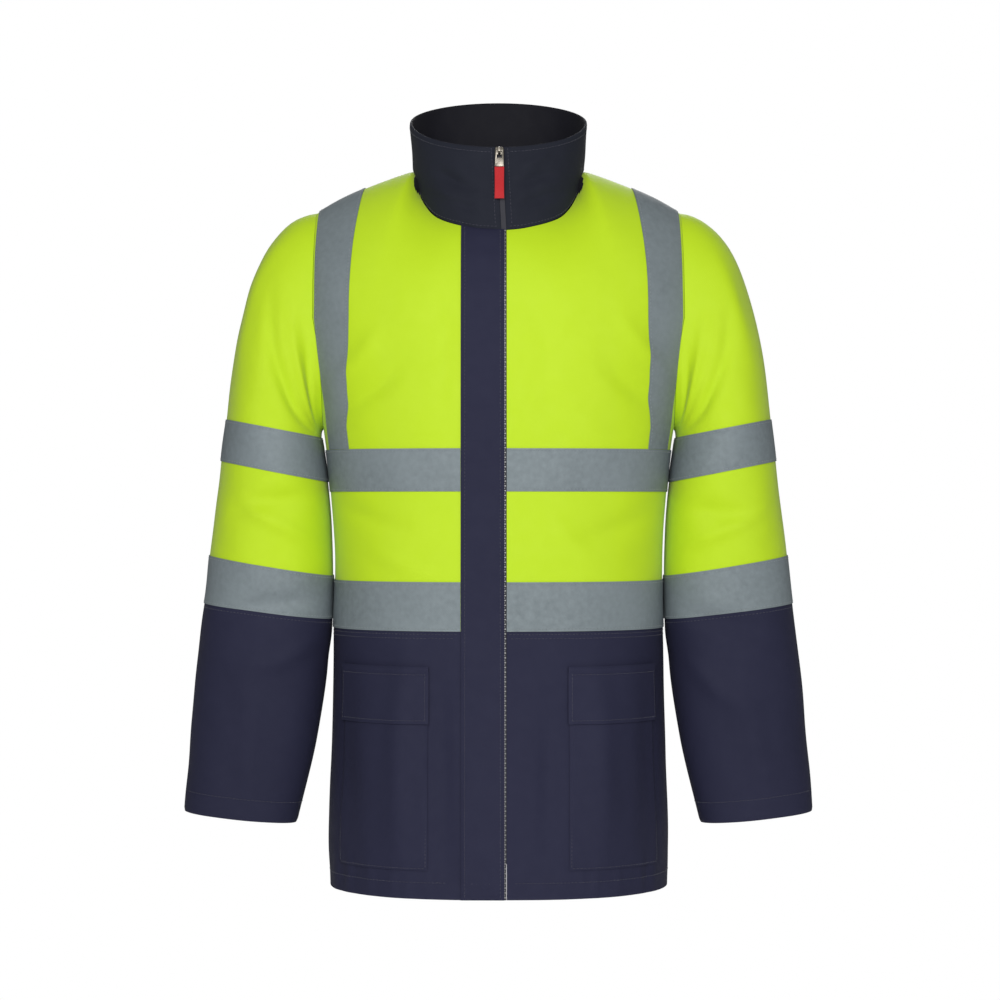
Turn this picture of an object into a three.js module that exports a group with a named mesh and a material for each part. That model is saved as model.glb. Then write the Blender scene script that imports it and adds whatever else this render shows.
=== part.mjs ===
// High-visibility long-sleeved work jacket, worn shape with no wearer.
// Millimetres, +Z up, front faces -Y, the wearer's right is -X.
// The origin is the point between the shoulders where the wearer carries the jacket.
import * as THREE from 'three';

// ---------------------------------------------------------------- driving dimensions
const CLOTH = 2;                 // wall of the body and sleeve cloth
const TAPE = 1.2;                // wall of the reflective tape
const COLLAR_CLOTH = 3;          // wall of the padded stand collar
const GAP = 0.3;                 // clearance between neighbouring pieces
const ROUNDNESS = 2.4;           // superellipse power of the torso sections
const SLEEVE_ROUNDNESS = 2.15;   // superellipse power of the sleeve sections

const NECK_X = 97;               // half-width of the neckline at the shoulder seam
const SHOULDER_X = 206;          // armhole top
const SHOULDER_Z = -27;
const MID_ARMHOLE_Z = -150;      // height where the armhole is deepest front to back
const ARMPIT_Z = -273;
const ARMHOLE_HALF_DEPTH = 64;
const WAIST_SEAM_Z = -497;
const HEM_Z = -788;
const TAPE_INNER_X = 165;        // inner edge of the shoulder tape on the chest
const TAPE_OUTER_X = 204.5;
const SIDE_TAPE_RATIO = 0.845;   // the same two columns as shares of the half-width lower down
const SIDE_OUTER_RATIO = 0.965;

const ZIP_X = 6;                 // centre of the zip on the body
const ZIP_HALF = 2.7;            // half-width of the closed chain
const PLACKET_EDGE_X = 6.5;      // free edge of the storm flap

// Half-width, front depth and back depth of the torso by height.
const torsoSections = [
  { z: -150, width: 229, front: 122, back: 122 },
  { z: -273, width: 199, front: 125, back: 126 },
  { z: -344, width: 191, front: 125, back: 127 },
  { z: -422, width: 186, front: 126, back: 127 },
  { z: -497, width: 187, front: 127, back: 128 },
  { z: -640, width: 190, front: 131, back: 130 },
  { z: -730, width: 193, front: 133, back: 131 },
  { z: -788, width: 191, front: 135, back: 132 },
];

// Columns of a half panel, centre to armhole: the neckline or shoulder point of each at the
// front and back, where it starts on the shoulder curve (degrees) and its x on the chest.
const columns = [
  { topX: 0, frontY: -97, frontZ: -56, backY: 75, backZ: 30, start: 35, chestX: 0 },
  { topX: 19, frontY: -95.5, frontZ: -55, backY: 74, backZ: 30.2, start: 34, chestX: 19 },
  { topX: 41, frontY: -89.5, frontZ: -50.5, backY: 70, backZ: 30.5, start: 32, chestX: 41 },
  { topX: 69, frontY: -70, frontZ: -39, backY: 58, backZ: 30, start: 26, chestX: 77 },
  { topX: 87, frontY: -40, frontZ: -14, backY: 35, backZ: 27, start: 14, chestX: 105 },
  { topX: 97, frontY: 0, frontZ: 20, backY: 0, backZ: 20, start: 0, chestX: 135 },
  { topX: 151, frontY: 0, frontZ: 1, backY: 0, backZ: 1, start: 0, chestX: TAPE_INNER_X },
  { topX: 177, frontY: 0, frontZ: -10.5, backY: 0, backZ: -10.5, start: 0, chestX: 186.5 },
  { topX: 203, frontY: 0, frontZ: -25, backY: 0, backZ: -25, start: 0, chestX: TAPE_OUTER_X },
  { topX: 204.5, frontY: 0, frontZ: -26, backY: 0, backZ: -26, start: 0, chestX: 206 },
  { topX: SHOULDER_X, frontY: 0, frontZ: SHOULDER_Z, backY: 0, backZ: SHOULDER_Z, start: 0,
    chestX: 207.2 },
];
const NECK_COLUMN = 5;
const TAPE_INNER = 6;
const TAPE_OUTER = 8;
const EDGE = 10;
const PLACKET_COLUMN = 2;
const POCKET_INNER = 3;
const POCKET_OUTER = 7;

const CURVE_STEPS = 5;                       // rows in each quarter of the armhole
const MID_ROW = CURVE_STEPS;
const ARMPIT_ROW = 2 * CURVE_STEPS;
const lowerRows = [-297, -344, -395, -443, WAIST_SEAM_Z + GAP / 2];
const CHEST_BAND_ROW = ARMPIT_ROW + 1;
const WAIST_BAND_ROW = ARMPIT_ROW + 4;
const LAST_ROW = ARMPIT_ROW + lowerRows.length;
const skirtRows = [WAIST_SEAM_Z - GAP / 2, -536, -598, -680, -757, HEM_Z];
const POCKET_TOP_ROW = 1;
const FLAP_BOTTOM_ROW = 2;
const POCKET_BOTTOM_ROW = 4;

// Sleeve rings from the upper tape to the cuff: outer and inner points, half-depth, middle y.
const sleeveRings = [
  { outX: 309.5, outZ: -262, inX: 203.5, inZ: -283, depth: 75, y: 0 },
  { outX: 315, outZ: -309, inX: 196.5, inZ: -333, depth: 73, y: 0 },
  { outX: 321.5, outZ: -362, inX: 192, inZ: -386, depth: 70, y: -1 },
  { outX: 328, outZ: -416, inX: 190.5, inZ: -439, depth: 66, y: -3 },
  { outX: 333.7, outZ: -470, inX: 191.2, inZ: -488, depth: 62, y: -5 },
  { outX: 341, outZ: -530, inX: 194.5, inZ: -543, depth: 57, y: -8 },
  { outX: 348.5, outZ: -610, inX: 206, inZ: -622, depth: 49, y: -12 },
  { outX: 356, outZ: -704.5, inX: 228.6, inZ: -718, depth: 41, y: -15 },
];
const SLEEVE_HEAD_STEPS = 4;
const SLEEVE_COLUMNS = 4 * CURVE_STEPS;
const UPPER_BAND_RING = 0;
const LOWER_BAND_RING = 3;
const COLOUR_RING = 4;                       // the sleeve changes colour below this ring

// Top edge of the collar.
const COLLAR_TOP = { halfWidth: 101, frontY: -80, backY: 76, sideZ: 77.5, frontZ: 38, backZ: 111 };
const COLLAR_STEPS = 3;
const COLLAR_ZIP_X = 1;                      // middle of the zip at the collar's top edge

// Zip slider and pull tab.
const SLIDER = { width: 10, depth: 3.2, height: 9, bailWidth: 3, bailReach: 5, bailWire: 1.4 };
const LINK = { width: 10, length: 20, thickness: 1.6, bar: 1.8, slotWidth: 5.4, slotLength: 8 };
const RIBBON = { width: 10.5, length: 36, thickness: 1.2 };

// ---------------------------------------------------------------- small helpers
const vec = (x, y, z) => new THREE.Vector3(x, y, z);
const lerp = THREE.MathUtils.lerp;
const radians = THREE.MathUtils.degToRad;

function torsoAt(z) {
  const rows = torsoSections;
  if (z >= rows[0].z) return rows[0];
  const next = rows.findIndex((row) => row.z <= z);
  if (next < 0) return rows[rows.length - 1];
  const low = rows[next];
  const high = rows[next - 1];
  const t = (high.z - z) / (high.z - low.z);
  return {
    width: lerp(high.width, low.width, t),
    front: lerp(high.front, low.front, t),
    back: lerp(high.back, low.back, t),
  };
}

// Angle on a torso section, 0 at the centre and 90 degrees at the side, for a given x.
function angleOfX(x, width) {
  return Math.asin(Math.min(1, x / width) ** (ROUNDNESS / 2));
}

function sectionPoint(angle, z, face) {
  const { width, front, back } = torsoAt(z);
  const depth = face === 'front' ? -front : back;
  const power = 2 / ROUNDNESS;
  const x = width * Math.sin(angle) ** power;
  const y = depth * Math.max(0, Math.cos(angle)) ** power;
  return vec(x, y, z);
}

// Angle of each column on a section below the middle of the armhole.
function columnAngle(column, z, edgeAngle) {
  const { width } = torsoAt(z);
  const sideWidth = torsoAt(Math.min(z, ARMPIT_Z)).width;
  const drop = Math.min(1, (MID_ARMHOLE_Z - z) / (MID_ARMHOLE_Z - ARMPIT_Z));
  const inner = angleOfX(lerp(TAPE_INNER_X, SIDE_TAPE_RATIO * sideWidth, drop), width);
  const outer = angleOfX(lerp(TAPE_OUTER_X, SIDE_OUTER_RATIO * sideWidth, drop), width);
  if (column < TAPE_INNER) return angleOfX(columns[column].chestX, width);
  if (column <= TAPE_OUTER) {
    return lerp(inner, outer, (column - TAPE_INNER) / (TAPE_OUTER - TAPE_INNER));
  }
  return lerp(outer, edgeAngle, (column - TAPE_OUTER) / (EDGE - TAPE_OUTER));
}

function armholeEdgeAngle(z, face) {
  const { front, back } = torsoAt(z);
  const depth = face === 'front' ? front : back;
  const sine = Math.min(1, (MID_ARMHOLE_Z - z) / (MID_ARMHOLE_Z - ARMPIT_Z));
  const y = ARMHOLE_HALF_DEPTH * Math.sqrt(Math.max(0, 1 - sine * sine));
  return Math.acos(Math.min(1, y / depth) ** (ROUNDNESS / 2));
}

// One point of a half panel on the +X side. Rows run from the neckline or shoulder to the waist.
function panelPoint(face, column, row) {
  const sign = face === 'front' ? -1 : 1;
  if (row > MID_ROW) {
    const z = row <= ARMPIT_ROW
      ? MID_ARMHOLE_Z + (ARMPIT_Z - MID_ARMHOLE_Z) * Math.sin(radians(90 * (row - MID_ROW) / CURVE_STEPS))
      : lowerRows[row - ARMPIT_ROW - 1];
    return lowerPoint(face, column, z);
  }
  const spec = columns[column];
  const chest = sectionPoint(columnAngle(column, MID_ARMHOLE_Z, armholeEdgeAngle(MID_ARMHOLE_Z, face)),
    MID_ARMHOLE_Z, face);
  const topY = spec[`${face}Y`] === 0 ? sign * GAP / 2 : spec[`${face}Y`];
  const topZ = spec[`${face}Z`];
  const angle = lerp(radians(spec.start), Math.PI / 2, row / MID_ROW);
  const along = (1 - Math.sin(angle)) / (1 - Math.sin(radians(spec.start)));
  const height = Math.cos(angle) / Math.cos(radians(spec.start));
  return vec(
    lerp(chest.x, spec.topX, height ** 2),
    lerp(chest.y, topY, along),
    lerp(MID_ARMHOLE_Z, topZ, height),
  );
}

function lowerPoint(face, column, z) {
  const sign = face === 'front' ? -1 : 1;
  const edge = z > ARMPIT_Z ? armholeEdgeAngle(z, face) : Math.PI / 2;
  const point = sectionPoint(columnAngle(column, z, edge), z, face);
  if (Math.abs(point.y) < GAP / 2) point.y = sign * GAP / 2;
  return point;
}

// Grid of points and outward normals for one half panel; grid[column][row].
function halfPanel(face, pointAt, rowCount) {
  const points = [];
  for (let column = 0; column <= EDGE; column += 1) {
    const line = [];
    for (let row = 0; row < rowCount; row += 1) line.push(pointAt(face, column, row));
    points.push(line);
  }
  const other = face === 'front' ? 'back' : 'front';
  const normals = points.map((line, column) => line.map((point, row) => {
    const left = column > 0 ? points[column - 1][row] : mirrored(points[1][row]);
    let right = column < EDGE ? points[column + 1][row] : point;
    const sideSeam = column === EDGE && Math.abs(point.y) < 1 && point.z < ARMPIT_Z - 1;
    if (sideSeam) right = pointAt(other, EDGE - 1, row);
    let up = row > 0 ? line[row - 1] : point;
    if (row === 0 && column >= NECK_COLUMN && Math.abs(point.y) < 1) up = pointAt(other, column, 1);
    const down = row < rowCount - 1 ? line[row + 1] : point;
    const across = right.clone().sub(left);
    const along = down.clone().sub(up);
    const normal = across.cross(along).normalize();
    return face === 'front' ? normal.negate() : normal;
  }));
  return { points, normals };
}

function mirrored(point) {
  return vec(-point.x, point.y, point.z);
}

// Points the normals away from the torso's axis.
function orient(panel) {
  panel.normals.forEach((line, column) => line.forEach((normal, row) => {
    const point = panel.points[column][row];
    const outwards = vec(point.x, point.y, Math.max(0, point.z + 150));
    if (normal.dot(outwards) < 0) normal.negate();
  }));
  return panel;
}

// Closed wall between two matching grids; with loop, the first index closes on itself.
function wallGeometry(outer, inner, loop = false) {
  const countU = outer.length;
  const countV = outer[0].length;
  const position = [];
  for (const grid of [outer, inner]) {
    for (const line of grid) for (const point of line) position.push(point.x, point.y, point.z);
  }
  const size = countU * countV;
  const at = (layer, u, v) => layer * size + (u % countU) * countV + v;
  const index = [];
  const quad = (a, b, c, d) => index.push(a, b, c, a, c, d);
  const lastU = loop ? countU : countU - 1;
  for (let u = 0; u < lastU; u += 1) {
    for (let v = 0; v < countV - 1; v += 1) {
      quad(at(0, u, v), at(0, u + 1, v), at(0, u + 1, v + 1), at(0, u, v + 1));
      quad(at(1, u, v), at(1, u, v + 1), at(1, u + 1, v + 1), at(1, u + 1, v));
    }
    quad(at(1, u, 0), at(1, u + 1, 0), at(0, u + 1, 0), at(0, u, 0));
    const end = countV - 1;
    quad(at(0, u, end), at(0, u + 1, end), at(1, u + 1, end), at(1, u, end));
  }
  if (!loop) {
    const end = countU - 1;
    for (let v = 0; v < countV - 1; v += 1) {
      quad(at(0, 0, v), at(0, 0, v + 1), at(1, 0, v + 1), at(1, 0, v));
      quad(at(1, end, v), at(1, end, v + 1), at(0, end, v + 1), at(0, end, v));
    }
  }
  return outwardGeometry(position, index);
}

// Turns the faces outwards when the enclosed volume comes out negative.
function outwardGeometry(position, index) {
  let volume = 0;
  const corner = (i) => vec(...position.slice(3 * i, 3 * i + 3));
  for (let i = 0; i < index.length; i += 3) {
    volume += corner(index[i]).dot(corner(index[i + 1]).cross(corner(index[i + 2])));
  }
  if (volume < 0) {
    for (let i = 0; i < index.length; i += 3) [index[i], index[i + 1]] = [index[i + 1], index[i]];
  }
  const geometry = new THREE.BufferGeometry();
  geometry.setAttribute('position', new THREE.Float32BufferAttribute(position, 3));
  geometry.setIndex(index);
  geometry.computeVertexNormals();
  return geometry;
}

// Moves a grid along its normals.
function offset(points, normals, distance) {
  return points.map((line, u) => line.map(
    (point, v) => point.clone().addScaledVector(normals[u][v], distance)));
}

// Wall that stands between two distances from the surface.
function layer(panel, low, high) {
  return wallGeometry(offset(panel.points, panel.normals, high),
    offset(panel.points, panel.normals, low));
}

// Part of a panel between two columns and two rows.
function patch(panel, columnFrom, columnTo, rowFrom, rowTo) {
  const cut = (grid) => grid.slice(columnFrom, columnTo + 1)
    .map((line) => line.slice(rowFrom, rowTo + 1).map((item) => item.clone()));
  return { points: cut(panel.points), normals: cut(panel.normals) };
}

// Draws the named edges of a patch in by a clearance.
function inset(panel, edges, distance) {
  const { points } = panel;
  const lastU = points.length - 1;
  const lastV = points[0].length - 1;
  const pull = (point, towards) => {
    const step = towards.clone().sub(point);
    point.addScaledVector(step.normalize(), distance);
  };
  for (let v = 0; v <= lastV; v += 1) {
    if (edges.includes('start')) pull(points[0][v], points[1][v]);
    if (edges.includes('end')) pull(points[lastU][v], points[lastU - 1][v]);
  }
  for (let u = 0; u <= lastU; u += 1) {
    if (edges.includes('top')) pull(points[u][0], points[u][1]);
    if (edges.includes('bottom')) pull(points[u][lastV], points[u][lastV - 1]);
  }
  return panel;
}

// Moves the first column to a given x, for the edges at the front opening.
function startAtX(panel, x) {
  panel.points[0].forEach((point) => { point.x = x; });
  return panel;
}

function flipX(panel) {
  return {
    points: panel.points.map((line) => line.map(mirrored)),
    normals: panel.normals.map((line) => line.map(mirrored)),
  };
}

// Joins a half panel and its mirror image through the centre line.
function joinHalves(panel) {
  const left = flipX(panel);
  return {
    points: [...left.points.slice(1).reverse(), ...panel.points],
    normals: [...left.normals.slice(1).reverse(), ...panel.normals],
  };
}

// ---------------------------------------------------------------- finishes
const finish = {
  yellow: new THREE.MeshStandardMaterial({ color: 0xc6e82f, roughness: 0.75, metalness: 0 }),
  navy: new THREE.MeshStandardMaterial({ color: 0x303145, roughness: 0.8, metalness: 0 }),
  collar: new THREE.MeshStandardMaterial({ color: 0x2b2e37, roughness: 0.85, metalness: 0 }),
  tape: new THREE.MeshStandardMaterial({ color: 0x7a8387, roughness: 0.5, metalness: 0.1 }),
  zip: new THREE.MeshStandardMaterial({ color: 0x9a958c, roughness: 0.4, metalness: 0.7 }),
  ribbon: new THREE.MeshStandardMaterial({ color: 0xc82328, roughness: 0.7, metalness: 0 }),
};

const jacket = new THREE.Group();

function add(name, geometry, material) {
  const mesh = new THREE.Mesh(geometry, finish[material]);
  mesh.name = name;
  jacket.add(mesh);
  return mesh;
}

// ---------------------------------------------------------------- torso
const panels = {
  front: orient(halfPanel('front', panelPoint, LAST_ROW + 1)),
  back: orient(halfPanel('back', panelPoint, LAST_ROW + 1)),
};
const skirts = {};
for (const face of ['front', 'back']) {
  skirts[face] = orient(halfPanel(face, (side, column, row) => lowerPoint(side, column, skirtRows[row]),
    skirtRows.length));
}

// At the armhole the wall's inner edge leans towards the middle of the armhole.
function armholeRadial(point) {
  return vec(0, point.y, point.z - MID_ARMHOLE_Z).normalize();
}
for (const face of ['front', 'back']) {
  for (let row = 0; row <= ARMPIT_ROW; row += 1) {
    panels[face].normals[EDGE][row].add(armholeRadial(panels[face].points[EDGE][row])).normalize();
  }
}

const sides = [
  { name: 'right', flip: true, frontEdgeX: -(ZIP_X - ZIP_HALF - GAP) },
  { name: 'left', flip: false, frontEdgeX: ZIP_X + ZIP_HALF + GAP },
];
const onSide = (panel, side) => (side.flip ? flipX(panel) : panel);
const whole = (panel) => patch(panel, 0, panel.points.length - 1, 0, panel.points[0].length - 1);

for (const side of sides) {
  const front = startAtX(whole(panels.front), side.frontEdgeX);
  add(`front_${side.name}`, layer(onSide(front, side), -CLOTH, 0), 'yellow');
  const skirt = startAtX(whole(skirts.front), side.frontEdgeX);
  add(`front_${side.name}_skirt`, layer(onSide(skirt, side), -CLOTH, 0), 'navy');
}
const wholeBack = joinHalves(panels.back);
add('back', layer(wholeBack, -CLOTH, 0), 'yellow');
add('back_skirt', layer(joinHalves(skirts.back), -CLOTH, 0), 'navy');

// ---------------------------------------------------------------- tape on the torso
const bands = [
  { name: 'chest_band', row: CHEST_BAND_ROW },
  { name: 'waist_band', row: WAIST_BAND_ROW },
];
for (const side of sides) {
  const brace = patch(panels.front, TAPE_INNER, TAPE_OUTER, 0, CHEST_BAND_ROW);
  add(`brace_front_${side.name}`, layer(onSide(inset(brace, ['bottom'], GAP), side), GAP, GAP + TAPE),
    'tape');
  const from = side.flip ? EDGE - TAPE_OUTER : EDGE + TAPE_INNER;
  const to = side.flip ? EDGE - TAPE_INNER : EDGE + TAPE_OUTER;
  const backBrace = inset(patch(wholeBack, from, to, 0, CHEST_BAND_ROW), ['bottom'], GAP);
  add(`brace_back_${side.name}`, layer(backBrace, GAP, GAP + TAPE), 'tape');
  for (const band of bands) {
    const first = side.name === 'right' ? PLACKET_COLUMN : 0;
    const strip = patch(panels.front, first, EDGE, band.row, band.row + 1);
    if (side.name === 'right') inset(strip, ['start'], GAP);
    else startAtX(strip, side.frontEdgeX);
    add(`${band.name}_${side.name}`, layer(onSide(strip, side), GAP, GAP + TAPE), 'tape');
  }
}
for (const band of bands) {
  const strip = patch(wholeBack, 0, 2 * EDGE, band.row, band.row + 1);
  add(`${band.name}_back`, layer(strip, GAP, GAP + TAPE), 'tape');
}

// ---------------------------------------------------------------- sleeves
// Armhole loop in order from the shoulder point over the front to the armpit and up the back.
function armholeLoop() {
  const front = panels.front.points[EDGE].slice(0, ARMPIT_ROW + 1);
  const back = panels.back.points[EDGE].slice(1, ARMPIT_ROW).reverse();
  return [...front, ...back].map((point) => {
    const moved = point.clone();
    if (Math.abs(moved.y) < 1) moved.y = 0;
    moved.x += GAP;
    return moved;
  });
}

function ringPoint(ring, column) {
  const angle = (2 * Math.PI * column) / SLEEVE_COLUMNS;
  const power = 2 / SLEEVE_ROUNDNESS;
  const cosine = Math.cos(angle);
  const sine = Math.sin(angle);
  const across = Math.sign(cosine) * Math.abs(cosine) ** power;
  const deep = Math.sign(sine) * Math.abs(sine) ** power;
  return vec(
    lerp(ring.inX, ring.outX, (1 + across) / 2),
    ring.y - ring.depth * deep,
    lerp(ring.inZ, ring.outZ, (1 + across) / 2),
  );
}

// Sleeve grid, sleeve[column][row]: the head from the armhole to the first ring, then the rings.
function sleeveSurface() {
  const loop = armholeLoop();
  const points = loop.map((edge, column) => {
    const ring = ringPoint(sleeveRings[0], column);
    const bulge = vec(lerp(edge.x, ring.x, 0.8), lerp(edge.y, ring.y, 0.75), lerp(edge.z, ring.z, 0.03));
    const line = new THREE.QuadraticBezierCurve3(edge, bulge, ring).getPoints(SLEEVE_HEAD_STEPS);
    for (const lower of sleeveRings.slice(1)) line.push(ringPoint(lower, column));
    return line;
  });
  const count = points.length;
  const normals = points.map((line, column) => line.map((point, row) => {
    const before = points[(column + count - 1) % count][row];
    const after = points[(column + 1) % count][row];
    const up = line[Math.max(0, row - 1)];
    const down = line[Math.min(line.length - 1, row + 1)];
    const normal = after.clone().sub(before).cross(down.clone().sub(up)).normalize();
    const middle = points.reduce((sum, other) => sum.add(other[row]), vec(0, 0, 0)).divideScalar(count);
    if (normal.dot(point.clone().sub(middle)) < 0) normal.negate();
    return normal;
  }));
  normals.forEach((line, column) => {
    line[0].add(armholeRadial(points[column][0])).normalize();
  });
  return { points, normals };
}

const sleeve = sleeveSurface();
const SLEEVE_COLOUR_ROW = SLEEVE_HEAD_STEPS + COLOUR_RING;
const SLEEVE_LAST_ROW = SLEEVE_HEAD_STEPS + sleeveRings.length - 1;
const lastColumn = SLEEVE_COLUMNS - 1;

function tube(panel, low, high) {
  return wallGeometry(offset(panel.points, panel.normals, high),
    offset(panel.points, panel.normals, low), true);
}

for (const side of sides) {
  const upper = inset(patch(sleeve, 0, lastColumn, 0, SLEEVE_COLOUR_ROW), ['bottom'], GAP);
  add(`sleeve_${side.name}`, tube(onSide(upper, side), -CLOTH, 0), 'yellow');
  const end = patch(sleeve, 0, lastColumn, SLEEVE_COLOUR_ROW, SLEEVE_LAST_ROW);
  add(`sleeve_${side.name}_end`, tube(onSide(end, side), -CLOTH, 0), 'navy');
  const sleeveBands = [
    { name: 'upper', ring: UPPER_BAND_RING },
    { name: 'lower', ring: LOWER_BAND_RING },
  ];
  for (const band of sleeveBands) {
    const row = SLEEVE_HEAD_STEPS + band.ring;
    const strip = patch(sleeve, 0, lastColumn, row, row + 1);
    add(`sleeve_${side.name}_band_${band.name}`, tube(onSide(strip, side), GAP, GAP + TAPE), 'tape');
  }
}

// ---------------------------------------------------------------- collar
function collarPoint(face, column, row) {
  const spec = columns[column];
  const sine = spec.topX / NECK_X;
  const cosine = Math.sqrt(Math.max(0, 1 - sine * sine));
  const high = COLLAR_TOP;
  const top = vec(
    high.halfWidth * sine,
    (face === 'front' ? high.frontY : high.backY) * cosine,
    high.sideZ + ((face === 'front' ? high.frontZ : high.backZ) - high.sideZ) * cosine,
  );
  const base = vec(spec.topX, spec[`${face}Y`], spec[`${face}Z`] + GAP);
  return base.lerp(top, row / COLLAR_STEPS);
}

// Collar grid from the right front edge round the back to the left front edge.
function collarSurface() {
  const route = [];
  for (let column = 0; column <= NECK_COLUMN; column += 1) route.push({ face: 'front', column });
  for (let column = NECK_COLUMN - 1; column >= 0; column -= 1) route.push({ face: 'back', column });
  const rows = [...Array(COLLAR_STEPS + 1).keys()];
  const line = (stop) => rows.map((row) => collarPoint(stop.face, stop.column, row));
  const half = route.map(line);
  const points = [...half.map((items) => items.map(mirrored)), ...half.slice(0, -1).reverse()];
  const last = points.length - 1;
  rows.forEach((row) => {
    const middle = lerp(ZIP_X, COLLAR_ZIP_X, row / COLLAR_STEPS);
    points[0][row].x = middle - ZIP_HALF - GAP;
    points[last][row].x = middle + ZIP_HALF + GAP;
  });
  const normals = points.map((items, u) => items.map((point, v) => {
    const before = points[Math.max(0, u - 1)][v];
    const after = points[Math.min(last, u + 1)][v];
    const low = items[Math.max(0, v - 1)];
    const high = items[Math.min(COLLAR_STEPS, v + 1)];
    const normal = after.clone().sub(before).cross(high.clone().sub(low)).normalize();
    if (normal.dot(vec(point.x, point.y, 0)) < 0) normal.negate();
    return normal;
  }));
  return { points, normals };
}

const collar = collarSurface();
add('collar', layer(collar, -COLLAR_CLOTH, 0), 'collar');

// ---------------------------------------------------------------- storm flap and zip
function placketStrip(panel) {
  const strip = startAtX(patch(panel, 0, PLACKET_COLUMN, 0, panel.points[0].length - 1),
    -PLACKET_EDGE_X);
  return onSide(strip, sides[0]);
}
const upperPlacket = placketStrip(panels.front);
const lowerPlacket = placketStrip(skirts.front);
const placket = {
  points: upperPlacket.points.map((line, u) => [...line, ...lowerPlacket.points[u]]),
  normals: upperPlacket.normals.map((line, u) => [...line, ...lowerPlacket.normals[u]]),
};
add('placket', layer(placket, GAP, GAP + CLOTH), 'navy');

// Closed chain from the collar's top edge to the hem.
function zipChain() {
  const centre = [];
  for (let row = COLLAR_STEPS; row >= 0; row -= 1) {
    const middle = lerp(ZIP_X, COLLAR_ZIP_X, row / COLLAR_STEPS);
    centre.push({ point: collarPoint('front', 0, row), normal: collar.normals[0][row], middle });
  }
  for (const panel of [panels.front, skirts.front]) {
    panel.points[0].forEach((point, row) => {
      centre.push({ point, normal: panel.normals[0][row], middle: ZIP_X });
    });
  }
  const column = (shift) => centre.map(({ point, middle }) => vec(middle + shift, point.y, point.z));
  const upright = centre.map(({ normal }) => vec(0, normal.y, normal.z).normalize());
  return { points: [column(-ZIP_HALF), column(ZIP_HALF)], normals: [upright, upright] };
}
const chain = zipChain();
add('zip', layer(chain, -CLOTH, 0), 'zip');

// ---------------------------------------------------------------- pockets
for (const side of sides) {
  const pouch = patch(skirts.front, POCKET_INNER, POCKET_OUTER, POCKET_TOP_ROW, POCKET_BOTTOM_ROW);
  add(`pocket_${side.name}`, layer(onSide(pouch, side), GAP, GAP + CLOTH), 'navy');
  const flap = patch(skirts.front, POCKET_INNER, POCKET_OUTER, POCKET_TOP_ROW, FLAP_BOTTOM_ROW);
  const lift = 2 * GAP + CLOTH;
  add(`flap_${side.name}`, layer(onSide(flap, side), lift, lift + CLOTH), 'navy');
}

// ---------------------------------------------------------------- slider and pull tab
// Profile in the YZ plane (first coordinate forwards, second up), extruded across X.
function acrossX(shape, width) {
  const geometry = new THREE.ExtrudeGeometry(shape, { depth: width, bevelEnabled: false });
  geometry.translate(0, 0, -width / 2);
  geometry.applyMatrix4(new THREE.Matrix4().makeBasis(vec(0, -1, 0), vec(0, 0, 1), vec(-1, 0, 0)));
  return geometry;
}

// Bail that stands on the slider and holds the pull tab, a bent strap with its feet on the body.
function bailShape() {
  const { height, bailReach, bailWire } = SLIDER;
  const foot = height / 2;
  const tip = height / 4;
  const shape = new THREE.Shape();
  shape.moveTo(0, -foot);
  shape.lineTo(bailReach, -tip);
  shape.lineTo(bailReach, tip);
  shape.lineTo(0, foot);
  shape.lineTo(0, foot - 1.5 * bailWire);
  shape.lineTo(bailReach - bailWire, tip - bailWire / 2);
  shape.lineTo(bailReach - bailWire, bailWire / 2 - tip);
  shape.lineTo(0, 1.5 * bailWire - foot);
  shape.closePath();
  return shape;
}

// Slider body, waisted at its lower half where it grips the chain.
function sliderShape() {
  const { width, height } = SLIDER;
  const shape = new THREE.Shape();
  shape.moveTo(-0.35 * width, -height / 2);
  shape.lineTo(0.35 * width, -height / 2);
  shape.lineTo(width / 2, 0.1 * height);
  shape.lineTo(0.4 * width, height / 2);
  shape.lineTo(-0.4 * width, height / 2);
  shape.lineTo(-width / 2, 0.1 * height);
  shape.closePath();
  return shape;
}

function rectangle(width, top, bottom) {
  const outline = new THREE.Shape();
  outline.moveTo(-width / 2, bottom);
  outline.lineTo(width / 2, bottom);
  outline.lineTo(width / 2, top);
  outline.lineTo(-width / 2, top);
  outline.closePath();
  return outline;
}

function plate(shape, thickness) {
  const geometry = new THREE.ExtrudeGeometry(shape, { depth: thickness, bevelEnabled: false });
  geometry.translate(0, 0, -thickness / 2);
  geometry.rotateX(Math.PI / 2);
  return geometry;
}

// The slider sits on the chain near the collar's top edge and leans with the collar.
const chainTop = chain.points[0][0];
const chainNext = chain.points[0][1];
const lean = Math.atan2(chainTop.y - chainNext.y, chainTop.z - chainNext.z);
const assembly = new THREE.Group();
const seat = vec(COLLAR_ZIP_X, chainTop.y, chainTop.z).lerp(
  vec(COLLAR_ZIP_X, chainNext.y, chainNext.z), 0.18);
assembly.position.copy(seat);
assembly.rotation.x = -lean;
jacket.add(assembly);

const slider = new THREE.Mesh(plate(sliderShape(), SLIDER.depth), finish.zip);
slider.name = 'zip_slider';
slider.position.set(0, -GAP - SLIDER.depth / 2, 0);
assembly.add(slider);

const bail = new THREE.Mesh(acrossX(bailShape(), SLIDER.bailWidth), finish.zip);
bail.name = 'slider_bail';
bail.position.set(0, -2 * GAP - SLIDER.depth, 0);
assembly.add(bail);

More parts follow.
